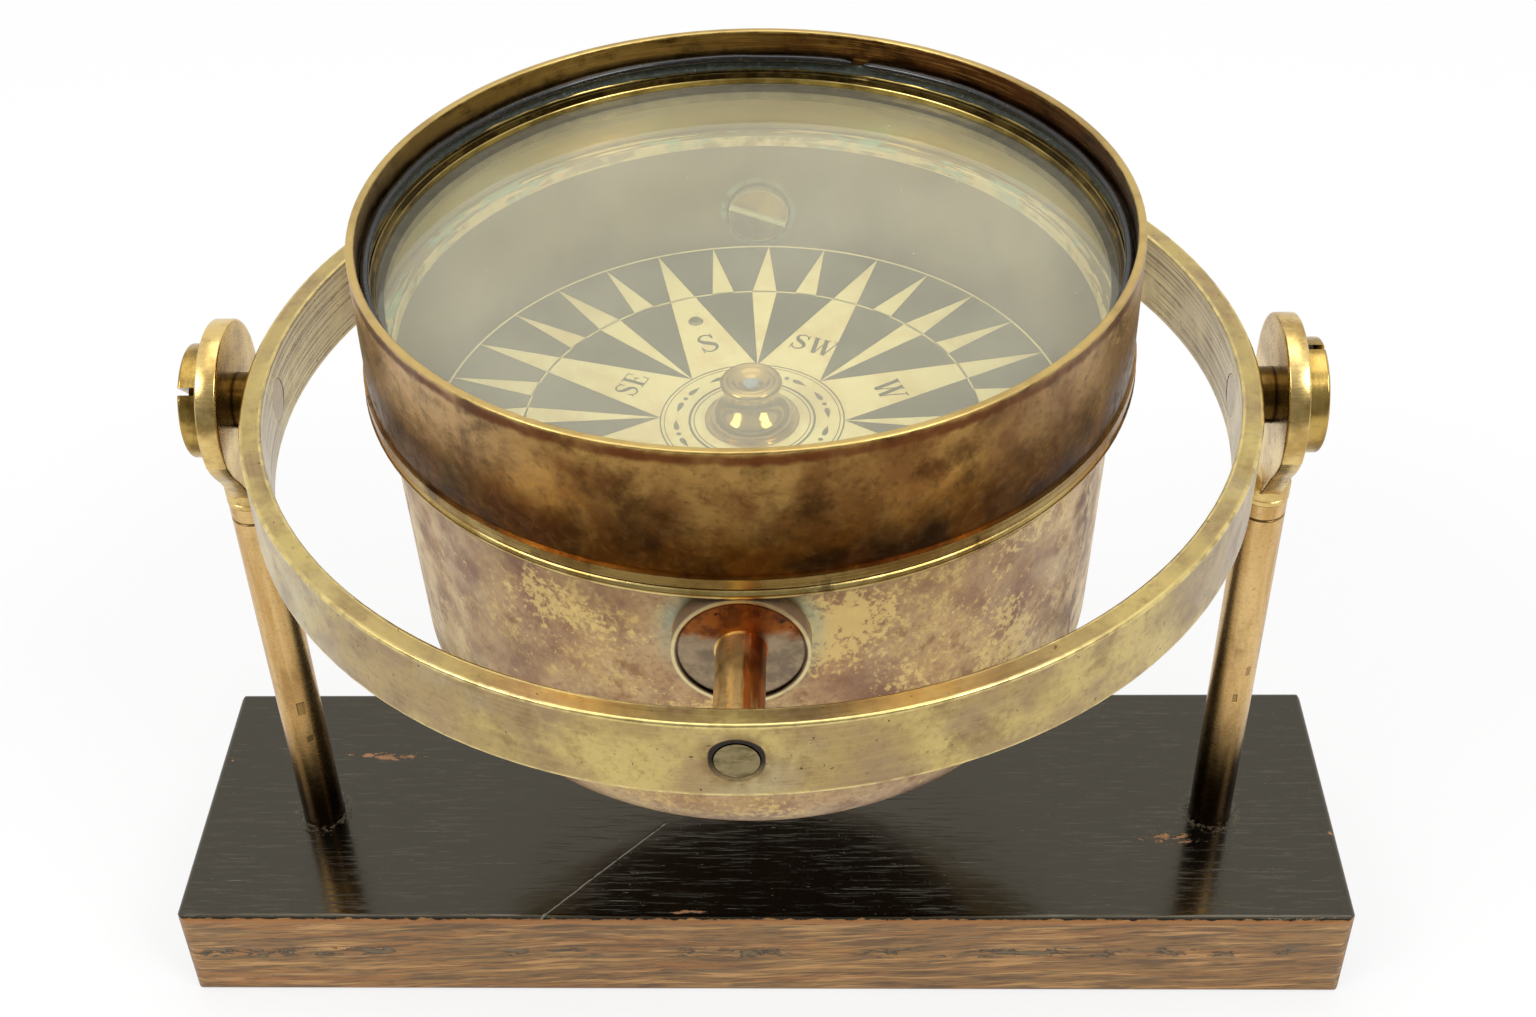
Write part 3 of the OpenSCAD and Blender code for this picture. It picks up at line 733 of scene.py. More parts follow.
@dataclass(frozen=True)
class PivotScrewBrass:
    """Turned screws: olive gold heads with a faceted gleam; the shoulder between eye and ring painted dark as shade,
    with a painted gleam left in it, and the slot painted dark as shade.
    """

    bright: str = "BC9D56"
    warm: str = "8A6C32"
    brown: str = "604620"
    # painted shade in the gap between eye and ring, and in the slot
    painted_shade: str = "2C1D0D"
    end: str = "94805A"
    ring_mm: float = 74.6
    head_mm: float = 80.6
    face_mm: float = 84.0
    slot_mm: float = 1.1
    level_mm: float = PIVOT_MM

    def material(self) -> Material:
        """Builds the material.

        Returns:
            The finished material.
        """
        p = Paint("Turned_brass_screw")
        along = p.node("Math ABSOLUTE", p.x)
        colour = p.lay(self.bright, self.warm, p.grain(5, detail=5, rough=0.6, seed=3), 0.4, 0.66)
        colour = p.lay(colour, self.brown, p.grain(2.5, detail=6, rough=0.65, seed=6), 0.5, 0.68, 0.6)
        # painted shade: the shoulder in the gap between eye and ring darkened as shadow
        dark = p.both(
            p.between(along, self.ring_mm - 0.6, self.ring_mm),
            p.between(along, self.head_mm, self.head_mm + 0.3, 1.0, 0.0),
        )
        # painted gleam: a lighter line left in that shade
        gleam = p.between(p.node("Math ABSOLUTE", p.node("Math SUBTRACT", along, 76.0)), 0.6, 1.2, 0.8, 1.0)
        colour = p.mix(p.both(dark, gleam), colour, self.painted_shade)
        end = p.between(along, self.ring_mm - 2.0, self.ring_mm - 1.0, 1.0, 0.0)
        colour = p.mix(p.both(end, 0.8), colour, self.end)
        side = p.node("Math SUBTRACT", p.z, self.level_mm)
        right = p.between(p.x, -1, 1)
        across = p.mix_value(right, p.both(p.node("Math ADD", p.y, side), math.sqrt(0.5)), p.y)
        near = p.node("Math ABSOLUTE", across)
        # painted shade in the head's slot
        slot = p.both(
            p.between(near, self.slot_mm / 2, self.slot_mm / 2 + 0.06, 1.0, 0.0),
            p.between(along, self.face_mm - 1.9, self.face_mm - 0.3, 1.0, 0.0),
        )
        colour = p.mix(p.both(slot, p.between(along, self.head_mm, self.head_mm + 0.3)), colour, self.painted_shade)
        scratch = p.grain(1.0, p.stretched(3.5, 0.5, 0.5), 3, 0.6)
        return p.finish(colour, p.between(scratch, 0.3, 0.8, 0.18, 0.3), p.bump(scratch, 0.003), Metallic=1.0)


@dataclass(frozen=True)
class SeamBrass:
    """The turned seam ring: gold in front, brown at the sides, and inside a ledge with bright lines painted as
    highlights, and verdigris.
    """

    bright: str = "D6C07C"
    warm: str = "A88A4C"
    line: str = "8E6E3C"
    side: str = "9E7642"
    dirt: str = "4A2C12"
    khaki: str = "9C9066"
    # painted highlight
    gleam: str = "FFF3C8"
    shade: str = "857D60"
    green: str = "9CD0CC"
    groove_mm: float = 122.15
    foot_mm: float = 120.3
    inner_mm: float = 54.5
    lip_mm: float = 54.0
    edge_mm: float = 51.0

    def ledge(self, p: Paint, radius: Socket) -> Socket:
        """Builds the ledge inside: grey, painted darker at the wall as shade, then verdigris and gold streaks painted
        as highlights, then one bright edge painted as a highlight.

        Args:
            p: The material's nodes.
            radius: Distance from the upright axis, in millimetres.

        Returns:
            The colour.
        """
        streaks = p.turned(1.1, 20, 5)
        # painted highlights: pale streaks round the ledge
        colour = p.lay(self.khaki, self.gleam, streaks, 0.52, 0.57)
        green = p.both(p.between(p.turned(1.3, 7, 3), 0.46, 0.51), p.between(p.grain(14, detail=3, seed=3), 0.44, 0.52))
        colour = p.mix(p.both(green, 0.9), colour, self.green)
        colour = p.lay(colour, self.shade, radius, self.lip_mm - 0.7, self.lip_mm - 0.3)
        # painted highlight: the bright line along the ledge's inner edge
        edge = p.between(p.node("Math ADD", radius, p.both(p.grain(3), 0.5)), self.edge_mm + 0.65, self.edge_mm + 0.5)
        broken = p.between(p.grain(6, detail=5, rough=0.65, seed=6), 0.42, 0.58, 0.25, 1.0)
        return p.mix(p.both(edge, broken), colour, self.gleam)

    def material(self) -> Material:
        """Builds the material.

        Returns:
            The finished material.
        """
        p = Paint("Turned_brass_seam_ring")
        radius = p.radius()
        colour = p.lay(self.bright, self.warm, p.grain(8, detail=5, seed=2), 0.4, 0.62)
        lines = p.turned(0.22, 30)
        colour = p.lay(colour, self.line, lines, 0.45, 0.7, 0.5)
        aside = p.between(p.node("Math ADD", p.y, p.both(p.grain(9, detail=4), 16.0)), -38, -18, 0.0, 0.9)
        colour = p.mix(aside, colour, self.side)
        spots = p.both(p.between(p.grain(7, detail=6, rough=0.65, seed=7), 0.52, 0.64), 0.8)
        dirt = p.either(p.band(p.z, self.groove_mm, 0.12, 0.2), p.band(p.z, self.foot_mm, 0.12, 0.25), spots)
        colour = p.mix(p.both(dirt, 0.85), colour, self.dirt)
        inside = p.between(radius, self.inner_mm - 0.2, self.inner_mm + 0.2, 1.0, 0.0)
        colour = p.mix(inside, colour, self.ledge(p, radius))
        return p.finish(
            colour, p.mix_value(inside, 0.26, 0.4), p.bump(lines, 0.02), Metallic=p.mix_value(inside, 1.0, 0.5)
        )


@dataclass(frozen=True)
class DrawnRodBrass:
    """Drawn brass rod, dulled: bronze gold in long soft bands, with cross scratches, dents, and a foot painted dark as
    a reflection of the black base, higher on the right rod.
    """

    light: str = "D9B77C"
    mid: str = "BC9459"
    brown: str = "8A6840"
    # painted reflection of the black base
    dark: str = "2E1D0B"
    scribed: str = "4E3616"
    foot_mm: float = BASE_TOP_MM
    line_mm: float = 89.4
    mark_left: tuple[float, float] = (-77.5, 48.7)
    mark_right: tuple[float, float] = (80.3, 57.0)

    def mark(self, p: Paint, x: float, z: float, half_x: float, half_z: float) -> Socket:
        """Gives a small upright oblong on a rod's front."""
        front = p.between(p.y, -2.0, -1.6, 1.0, 0.0)
        return p.both(p.band(p.x, x, half_x, 0.12), p.band(p.z, z, half_z, 0.15), front)

    def material(self) -> Material:
        """Builds the material.

        Returns:
            The finished material.
        """
        p = Paint("Drawn_brass_rod_dulled")
        streaks = p.grain(1.0, p.stretched(0.45, 0.45, 0.03), 5, 0.6, 0.3)
        colour = p.lay(self.light, self.mid, streaks, 0.36, 0.66)
        colour = p.lay(colour, self.brown, p.grain(6, p.stretched(1, 1, 0.4), 6, 0.65, seed=2), 0.5, 0.7, 0.65)
        colour = p.lay(colour, self.brown, p.grain(0.7, detail=3, seed=5), 0.5, 0.75, 0.35)
        # painted reflection: the rods darkened towards the foot as if mirroring the black base, higher on the right
        level = p.node("Math ADD", p.z, p.between(p.x, -10, 10, 0.0, -5.0))
        ragged = p.node("Math ADD", level, p.both(p.grain(6, detail=4), 10.0))
        foot = p.between(ragged, self.foot_mm + 8, self.foot_mm + 33, 0.94, 0.0)
        colour = p.mix(foot, colour, self.dark)
        lines = p.band(p.z, self.line_mm, 0.16, 0.16)
        x, z = self.mark_left
        left = p.either(self.mark(p, x, z, 0.55, 1.3), self.mark(p, x + 0.4, z - 7.4, 0.4, 0.6))
        x, z = self.mark_right
        marks = p.either(left, self.mark(p, x, z, 0.3, 0.9), self.mark(p, x - 1.5, z - 5.9, 0.3, 0.8))
        colour = p.mix(p.both(p.either(lines, p.both(marks, 0.6)), 0.8), colour, self.scribed)
        brush = p.grain(1.0, p.stretched(0.5, 0.5, 5.0), 3, 0.6)
        normal = p.bump(brush, 0.0015)
        normal = p.bump(p.both(marks, -1.0), 0.2, normal)
        return p.finish(colour, p.between(brush, 0.3, 0.8, 0.25, 0.36), normal, Metallic=1.0)


@dataclass(frozen=True)
class EbonisedWood:
    """A close-grained brown wood block whose top is stained and polished black.

    The front and sides are bare and oiled, with long fibres, end grain and dark pits; the black top
    gleams, shows the grain as fine dents, and has chipped to the wood in a few places.
    """

    ink: str = "070604"
    bloom: str = "14110C"
    wood: str = "845E36"
    light_wood: str = "98703E"
    orange_wood: str = "9C632F"
    fleck: str = "C4955C"
    dark_wood: str = "4A3320"
    pit: str = "2C2318"
    ash: str = "615640"
    chip: str = "9A6C44"
    crumb: str = "55452C"
    cut: str = "A39A86"
    gleam: str = "FFF3D6"
    top_mm: float = BASE_TOP_MM
    end_mm: float = 99.6
    hole_mm: float = POST_MM
    post_mm: float = 3.6
    chips: tuple[tuple[float, float, float, float], ...] = (  # x, y and the half sizes along them
        (-68.5, 13.5, 7.5, 1.4), (-98.0, 12.7, 1.6, 0.9), (71.0, -6.4, 8.5, 1.5), (98.7, -5.2, 1.8, 1.2),
        (-12.2, -22.9, 5.0, 0.6), (82.5, -7.0, 1.6, 1.0),
    )
    scratch: tuple[tuple[float, float], tuple[float, float]] = ((-17.9, -3.3), (-37.7, -24.4))
    pit_band: tuple[float, float] = (10.6, 1.0)

    def black_top(self, p: Paint, pores: Socket) -> tuple[Socket, Socket, Socket]:
        """Builds the black top and its chips and scratches.

        Args:
            p: The material's nodes.
            pores: The noise of the pores.

        Returns:
            Its colour, the mask of the chips and the mask of the scratches.
        """
        black = p.lay(self.ink, self.bloom, pores, 0.5, 0.75, 0.6)
        spots = []
        for x, y, half_x, half_y in self.chips:
            across = p.node("Math MULTIPLY", p.node("Math SUBTRACT", p.x, x), 1 / half_x)
            deep = p.node("Math MULTIPLY", p.node("Math SUBTRACT", p.y, y), 1 / half_y)
            spots.append(p.between(p.radius(across, deep), 0.3, 1.5, 1.0, 0.0))
        flecks = p.grain(2.0, p.stretched(0.5, 1.7, 1), 6, 0.72, 0.5, 2)
        chips = p.between(p.node("Math MULTIPLY_ADD", p.either(*spots), 0.19, flecks), 0.685, 0.71)
        rim = p.radius(p.node("Math SUBTRACT", p.node("Math ABSOLUTE", p.x), self.hole_mm))
        crumbs = p.both(
            p.between(rim, self.post_mm + 0.4, self.post_mm + 2.2, 1.0, 0.0),
            p.between(p.grain(0.9, detail=4, seed=7), 0.5, 0.58),
        )
        (x0, y0), (x1, y1) = self.scratch
        length = math.hypot(x1 - x0, y1 - y0)
        along = p.node("Math MULTIPLY_ADD", p.x, (x1 - x0) / length, p.both(p.y, (y1 - y0) / length))
        middle = ((x0 + x1) / 2 * (x1 - x0) + (y0 + y1) / 2 * (y1 - y0)) / length
        across = p.node("Math MULTIPLY_ADD", p.x, (y0 - y1) / length, p.both(p.y, (x1 - x0) / length))
        offset = (x0 * (y0 - y1) + y0 * (x1 - x0)) / length
        across = p.node("Math ADD", across, p.both(p.node("Math SUBTRACT", p.grain(9), 0.5), 0.7))
        line = p.both(
            p.band(along, middle, length / 2, 1.0), p.band(across, offset, 0.05, 0.18),
            p.between(p.grain(1.5), 0.3, 0.55),
        )
        hair = p.between(p.grain(1.0, p.stretched(0.07, 3.6, 1), 3, 0.5, 0.2, 8), 0.68, 0.76)
        nick = p.between(p.grain(1.0, p.stretched(0.4, 2.2, 1), 4, 0.6, 0.4, 18), 0.69, 0.74)
        dust = p.blotches(0.5, 0.7, 0.75, 2, 0.0, seed=13)
        cuts = p.either(line, p.both(p.either(hair, nick, dust), 0.55))
        colour = p.mix(p.both(crumbs, 0.6), p.mix(chips, black, self.chip), self.crumb)
        return p.mix(p.both(cuts, 0.5), colour, self.cut), p.either(chips, crumbs), cuts

    def bare_side(self, p: Paint) -> tuple[Socket, Socket]:
        """Builds the bare wood and its pits.

        Args:
            p: The material's nodes.

        Returns:
            Its colour and the mask of the pits.
        """
        wave = p.both(p.node("Math SUBTRACT", p.grain(45, detail=2, seed=2), 0.5), 5.0)
        level = p.node("Math ADD", p.node("Math MULTIPLY_ADD", p.x, -0.05, p.z), wave)
        lean = p.node("CombineXYZ", p.x, p.y, level)
        bands = p.grain(1.0, p.stretched(0.025, 0.3, 0.42, lean), 6, 0.62, 0.4)
        bare = p.lay(self.wood, self.light_wood, bands, 0.4, 0.6)
        streaks = p.grain(1.0, p.stretched(0.03, 0.4, 0.5, lean), 4, 0.6, 0.3, 6)
        bare = p.lay(bare, self.orange_wood, streaks, 0.48, 0.64, 0.7)
        fibre = p.grain(1.0, p.stretched(0.16, 3.0, 2.6, lean), 5, 0.7, 0.3, 4)
        bare = p.lay(bare, self.dark_wood, fibre, 0.46, 0.64, 0.85)
        flecks = p.grain(1.0, p.stretched(0.06, 1.0, 1.1, lean), 4, 0.62, 0.3, 23)
        bare = p.lay(bare, self.fleck, flecks, 0.5, 0.64, 0.75)
        dashes = p.grain(1.0, p.stretched(0.08, 1.0, 1.0, lean), 4, 0.65, 0.3, 27)
        bare = p.lay(bare, self.dark_wood, dashes, 0.5, 0.62, 0.65)
        dust = p.grain(1.0, p.stretched(0.05, 1.2, 1.3, lean), 5, 0.65, 0.3, 11)
        bare = p.lay(bare, self.ash, dust, 0.54, 0.68, 0.7)
        end = p.between(p.node("Math ABSOLUTE", p.x), self.end_mm - 0.1, self.end_mm + 0.2)
        growth = p.grain(1.0, p.stretched(0.01, 0.28, 1.3, lean), 4, 0.6, 0.6, 5)
        cut = p.lay(self.dark_wood, self.wood, growth, 0.42, 0.6)
        cut = p.lay(cut, self.pit, p.grain(0.5, detail=2, seed=3), 0.52, 0.66, 0.8)
        bare = p.mix(end, bare, cut)
        centre, half = self.pit_band
        wander = p.both(p.node("Math SUBTRACT", p.grain(20), 0.5), 5.0)
        row = p.band(p.node("Math ADD", p.z, wander), centre, half * 0.6, half * 1.3)
        knots = p.grain(2.2, p.stretched(0.4, 1, 1.3), 5, 0.62, 0.5, 6)
        where = p.between(p.grain(11, p.stretched(0.6, 1, 1), 3, 0.5, 0.2, 3), 0.47, 0.53)
        pits = p.both(row, p.between(knots, 0.54, 0.59), where)
        shore = p.both(row, p.band(knots, 0.535, 0.014, 0.02), where)
        loose = p.between(p.grain(1.5, p.stretched(0.6, 1, 1), 4, 0.6, 0.3, 9), 0.71, 0.75)
        pits = p.either(pits, loose)
        rubbed = p.both(p.band(p.z, self.top_mm - 0.9, 0.2, 0.6), 0.7)
        bare = p.mix(rubbed, bare, self.orange_wood)
        bare = p.mix(p.both(p.between(p.z, 0.2, 1.4, 1.0, 0.0), 0.4), bare, self.dark_wood)
        return p.mix(p.both(pits, 0.8), p.mix(p.both(shore, 0.95), bare, self.pit), self.ash), pits

    def material(self) -> Material:
        """Builds the material.

        Returns:
            The finished material.
        """
        p = Paint("Ebonised_hardwood_polished")
        pores = p.grain(1.0, p.stretched(0.12, 1.9, 1.9), 5, 0.65, 0.3)
        black, chips, cuts = self.black_top(p, pores)
        bare, pits = self.bare_side(p)
        worn = p.both(p.node("Math SUBTRACT", p.grain(1.6, p.stretched(0.6, 1, 1), 5), 0.5), 1.3)
        top = p.between(p.node("Math ADD", p.z, worn), self.top_mm - 0.5, self.top_mm - 0.3)
        colour = p.mix(top, bare, black)
        normal = p.bump(p.both(p.between(pores, 0.52, 0.74), -1.0), 0.018)
        dents = p.either(p.both(top, p.either(chips, cuts)), pits)
        normal = p.bump(p.both(dents, -1.0), 0.1, normal)
        normal = p.bump(p.grain(9, p.stretched(0.5, 1, 1), 3), 0.08, normal)
        rough = p.node("Math ADD", p.between(top, 0.0, 1.0, 0.5, 0.13), p.both(chips, 0.4))
        return p.finish(colour, rough, normal, IOR=1.68, Specular_Tint=linear(self.gleam))


@dataclass(frozen=True)
class PrintedPaper:
    """Engraved print on varnished rag paper: aged stock with foxing, or ink with fine wiping lines."""

    name: str
    base: str
    stain: str
    other: str
    roughness: float = 0.6
    engraved: bool = False

    def material(self) -> Material:
        """Builds the material.

        Returns:
            The finished material.
        """
        p = Paint(self.name)
        colour = p.mix(p.both(p.patches(9, 1.4, 0.46, 0.62, 3), 0.6), self.base, self.stain)
        colour = p.mix(p.both(p.blotches(6, 0.52, 0.7, 5, seed=5), 0.55), colour, self.other)
        fibre = p.grain(0.35, detail=3)
        colour = p.lay(colour, self.stain, fibre, 0.3, 0.8, 0.2)
        if self.engraved:
            lean = p.node("Math MULTIPLY_ADD", p.x, 0.35, p.y)
            hatch = p.between(p.node("Math SINE", p.both(lean, 9.0)), 0.2, 0.9, 0.0, 0.2)
            rub = p.between(p.grain(1.0, p.stretched(0.25, 2.6, 1), 4, 0.6, 0.3, 2), 0.52, 0.7, 0.0, 0.4)
            colour = p.mix(p.either(p.both(hatch, p.blotches(8, 0.42, 0.58)), rub), colour, self.other)
        return p.finish(colour, self.roughness, p.bump(fibre, 0.004))


@dataclass(frozen=True)
class HazyGlass:
    """Old sheet glass with a thin milky bloom that dulls what lies behind it, and a few dust specks."""

    tint: str = "EDE9D2"
    clear: float = 0.9

    def material(self) -> Material:
        """Builds the material: glass that lets the lamps' light through.

        Returns:
            The finished material.
        """
        p = Paint("Sheet_glass_hazy")
        specks = p.blotches(0.8, 0.73, 0.76, 2, 0.0, seed=3)
        cloud = p.between(p.grain(26, detail=3), 0.35, 0.7, 0.0, 0.05)
        clear = p.node("Math SUBTRACT", p.node("Math SUBTRACT", self.clear, cloud), p.both(specks, 0.3))
        shader = add(p.tree, "BsdfPrincipled", {
            "Base Color": linear(self.tint), "Roughness": 0.0, "IOR": 1.5, "Transmission Weight": clear,
        })
        lamp = add(p.tree, "BsdfTransparent", {"Color": linear(self.tint)})
        shadow = add(p.tree, "LightPath").outputs["Is Shadow Ray"]
        both = add(p.tree, "MixShader", {0: shadow, 1: shader.outputs[0], 2: lamp.outputs[0]})
        add(p.tree, "OutputMaterial", {"Surface": both.outputs[0]})
        return p.material


@dataclass(frozen=True)
class MouldedHolderBrass:
    """The turned ring on the glass: brown in its hollows, with fine bright lines on its edges painted as highlights,
    strongest at the back.
    """

    dark: str = "3E2F16"
    olive: str = "68562C"
    # painted highlight
    edge: str = "B8A262"
    edges_mm: tuple[float, float, float] = (52.3, 53.0, 53.75)

    def material(self) -> Material:
        """Builds the material.

        Returns:
            The finished material.
        """
        p = Paint("Turned_brass_moulding_brown")
        radius = p.radius()
        colour = p.mix(p.patches(8, 1.0, 0.46, 0.58, 2), self.dark, self.olive)
        # painted highlights: fine bright lines along the moulding's edges
        lines = p.either(*(p.band(radius, place, 0.06, 0.1) for place in self.edges_mm))
        broken = p.between(p.grain(6, detail=4), 0.35, 0.6, 0.35, 1.0)
        # the painted highlights grow stronger towards the back
        broken = p.both(broken, p.between(p.y, 0.0, 40.0, 0.35, 1.0))
        colour = p.mix(p.both(lines, broken), colour, self.edge)
        return p.finish(colour, 0.28, p.bump(p.turned(0.25, 20), 0.01), Metallic=1.0)


@dataclass(frozen=True)
class PlainSurface:
    """A small piece of one substance with a slight unevenness, such as putty, lacquer, lead or steel."""

    name: str
    base: str
    other: str
    roughness: float
    metallic: float = 0.0
    lump_mm: float = 1.0
    depth_mm: float = 0.02
    specks: str = ""

    def material(self) -> Material:
        """Builds the material.

        Returns:
            The finished material.
        """
        p = Paint(self.name)
        lumps = p.grain(self.lump_mm, detail=5)
        colour = p.lay(self.base, self.other, lumps, 0.35, 0.7)
        if self.specks:
            colour = p.mix(p.both(p.blotches(0.5, 0.62, 0.7, 2, 0.0, seed=4), 0.7), colour, self.specks)
        return p.finish(colour, self.roughness, p.bump(lumps, self.depth_mm), Metallic=self.metallic)


# --- meshes


def outward(points: np.ndarray, faces: np.ndarray) -> np.ndarray:
    """Turns the faces of a closed shell outwards: the sum of its corner pyramids has to be positive.

    Args:
        points: The shell's points, shape (n, 3).
        faces: Its faces, each of three or four point numbers.

    Returns:
        The faces, all turned outwards.
    """
    a, b, c = (points[faces[:, k]] for k in range(3))
    volume = np.einsum("ij,ij->", a, np.cross(b, c))
    if faces.shape[1] == 4:
        volume += np.einsum("ij,ij->", a, np.cross(c, points[faces[:, 3]]))
    return faces if volume > 0 else faces[:, ::-1]


def hoop_shell(points: np.ndarray) -> Shell:
    """Closes a grid both ways: each section is a loop, and the last section joins the first.

    Args:
        points: Array of shape (sections, loop, 3).

    Returns:
        The points as rows, and the faces as lists.
    """
    rows, columns = points.shape[:2]
    flat = points.reshape(-1, 3)
    at = np.arange(rows * columns).reshape(rows, columns)
    ahead = np.roll(at, -1, axis=0)
    faces = np.stack([at, ahead, np.roll(ahead, -1, axis=1), np.roll(at, -1, axis=1)], 2).reshape(-1, 4)
    return flat, outward(flat, faces).tolist()


def capped_shell(points: np.ndarray) -> Shell:
    """Closes a tube: each section is a loop, and each end is closed by a flat face.

    Args:
        points: Array of shape (sections, loop, 3).

    Returns:
        The points as rows, and the faces as lists.
    """
    rows, columns = points.shape[:2]
    flat = points.reshape(-1, 3)
    at = np.arange(rows * columns).reshape(rows, columns)
    around = np.roll(at, -1, axis=1)
    faces = np.stack([at[:-1], at[1:], around[1:], around[:-1]], 2).reshape(-1, 4)
    turned = outward(flat, faces)
    first, last = at[0].tolist(), at[-1].tolist()
    if np.array_equal(turned, faces):
        return flat, [*turned.tolist(), first, last[::-1]]
    return flat, [*turned.tolist(), first[::-1], last]


def turned_loop(profile: np.ndarray, steps: int) -> np.ndarray:
    """Carries a closed profile round the vertical axis: x = r cos t, y = r sin t, z stays.

    Args:
        profile: Radius and height in millimetres, shape (loop, 2), or (steps, loop, 2) where it changes.
        steps: Sections in one turn.

    Returns:
        Array of shape (steps, loop, 3).
    """
    turn = np.linspace(0, 2 * np.pi, steps, endpoint=False)[:, None]
    rings = np.broadcast_to(profile, (steps, *profile.shape[-2:]))
    radius, level = rings[..., 0], rings[..., 1]
    return np.stack([radius * np.cos(turn), radius * np.sin(turn), level], 2)


def ripple(turn: np.ndarray, seed: int, waves: tuple[int, int] = (3, 60), count: int = 24) -> np.ndarray:
    """Gives an uneven line round a circle, about -1 to 1: waves that fit the turn, weaker as they get finer.

    Args:
        turn: Angles in radians.
        seed: Seed of the draw.
        waves: Least and most waves in one turn.
        count: How many waves are added up.

    Returns:
        The line's height at each angle.
    """
    draw = np.random.default_rng(seed)
    number = draw.integers(*waves, count)[:, None]
    phase = draw.uniform(0, 2 * np.pi, count)[:, None]
    weight = 1 / np.sqrt(number)
    wave = (weight * np.sin(number * turn.ravel() + phase)).sum(0) / np.sqrt((weight**2).sum() / 2) / 2
    return wave.reshape(turn.shape)


def joined(shells: list[Shell]) -> Shell:
    """Puts several shells in one mesh: the later ones' faces count on from the earlier ones' points.

    Args:
        shells: The points and faces of each.

    Returns:
        The points and faces of all.
    """
    points, faces, count = [], [], 0
    for shell, sides in shells:
        points.append(shell)
        faces += [[corner + count for corner in side] for side in sides]
        count += len(shell)
    return np.concatenate(points), faces


def new_piece(
    name: str, shell: Shell, material: Material, body: str, smooth: float = 30.0
) -> bpy.types.Object:
    """Makes a piece of the object from points in millimetres and lets it ride on a body.

    Args:
        name: The piece's name.
        shell: Its points, shape (n, 3), and its faces as lists of point numbers.
        material: The finish.
        body: The CAD body that carries the piece.
        smooth: Edges flatter than this many degrees are shaded smooth.

    Returns:
        The new object.
    """
    points, faces = shell
    mesh = bpy.data.meshes.new(name)
    mesh.from_pydata(np.asarray(points, float) * MM, [], faces)
    mesh.materials.append(material)
    mesh.update()
    if smooth:
        mesh.shade_smooth()
        mesh.set_sharp_from_angle(angle=math.radians(smooth))
    piece = bpy.data.objects.new(name, mesh)
    bpy.context.scene.collection.objects.link(piece)
    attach(piece, body)
    return piece


class Ink:
    """Collects flat outlines and prints them as thin closed plates at one height."""

    def __init__(self, low_mm: float, high_mm: float) -> None:
        """Starts an empty sheet between two heights."""
        self.low, self.high = low_mm, high_mm
        self.shells: list[Shell] = []

    def plate(self, outline: np.ndarray) -> None:
        """Adds one simple polygon: a top, a bottom and its sides.

        Args:
            outline: The polygon's corners, shape (n, 2).
        """
        n = len(outline)
        area = np.sum(outline[:, 0] * np.roll(outline[:, 1], -1) - np.roll(outline[:, 0], -1) * outline[:, 1])
        ring = outline if area > 0 else outline[::-1]
        points = np.vstack([np.column_stack([ring, np.full(n, level)]) for level in (self.low, self.high)])
        index = np.arange(n)
        after = np.roll(index, -1)
        sides = np.column_stack([index, after, after + n, index + n])
        self.shells.append((points, [index[::-1].tolist(), (index + n).tolist(), *sides.tolist()]))

    def hoop(self, inner: float, outer: float, steps: int = 256) -> None:
        """Adds a flat ring between two radii: a square section carried round the axis."""
        section = np.array([[inner, self.low], [outer, self.low], [outer, self.high], [inner, self.high]])
        self.shells.append(hoop_shell(turned_loop(section, steps)))

    def piece(self, name: str, material: Material, body: str, slot: str) -> bpy.types.Object:
        """Makes one piece of all that was printed."""
        return new_piece(name, joined(self.shells), material, body, smooth=0)


# --- letters


class Letter(Enum):
    """The four capitals of the card."""

    N = "N"
    E = "E"
    S = "S"
    W = "W"


def bar(x0: float, y0: float, x1: float, y1: float, width: float) -> np.ndarray:
    """Gives a slanted stroke with level ends: the line from one point to another, width measured level."""
    half = width / 2
    return np.array([[x0 - half, y0], [x0 + half, y0], [x1 + half, y1], [x1 - half, y1]])


def block(x0: float, y0: float, x1: float, y1: float) -> np.ndarray:
    """Gives an upright rectangle."""
    return np.array([[x0, y0], [x1, y0], [x1, y1], [x0, y1]])


def smooth_line(knots: np.ndarray, steps: int) -> np.ndarray:
    """Gives points on the curve through the knots, each span a cubic whose slopes follow the neighbours.

    Args:
        knots: Points that the curve passes, shape (n, 2).
        steps: How many points it gets.

    Returns:
        The curve's points, shape (steps, 2).
    """
    ends = np.vstack([2 * knots[0] - knots[1], knots, 2 * knots[-1] - knots[-2]])
    place = np.linspace(0, len(knots) - 1.001, steps)
    span = place.astype(int)
    t = (place - span)[:, None]
    a, b, c, d = (ends[span + k] for k in range(4))
    return 0.5 * (2 * b + (c - a) * t + (2 * a - 5 * b + 4 * c - d) * t**2 + (3 * b - a - 3 * c + d) * t**3)


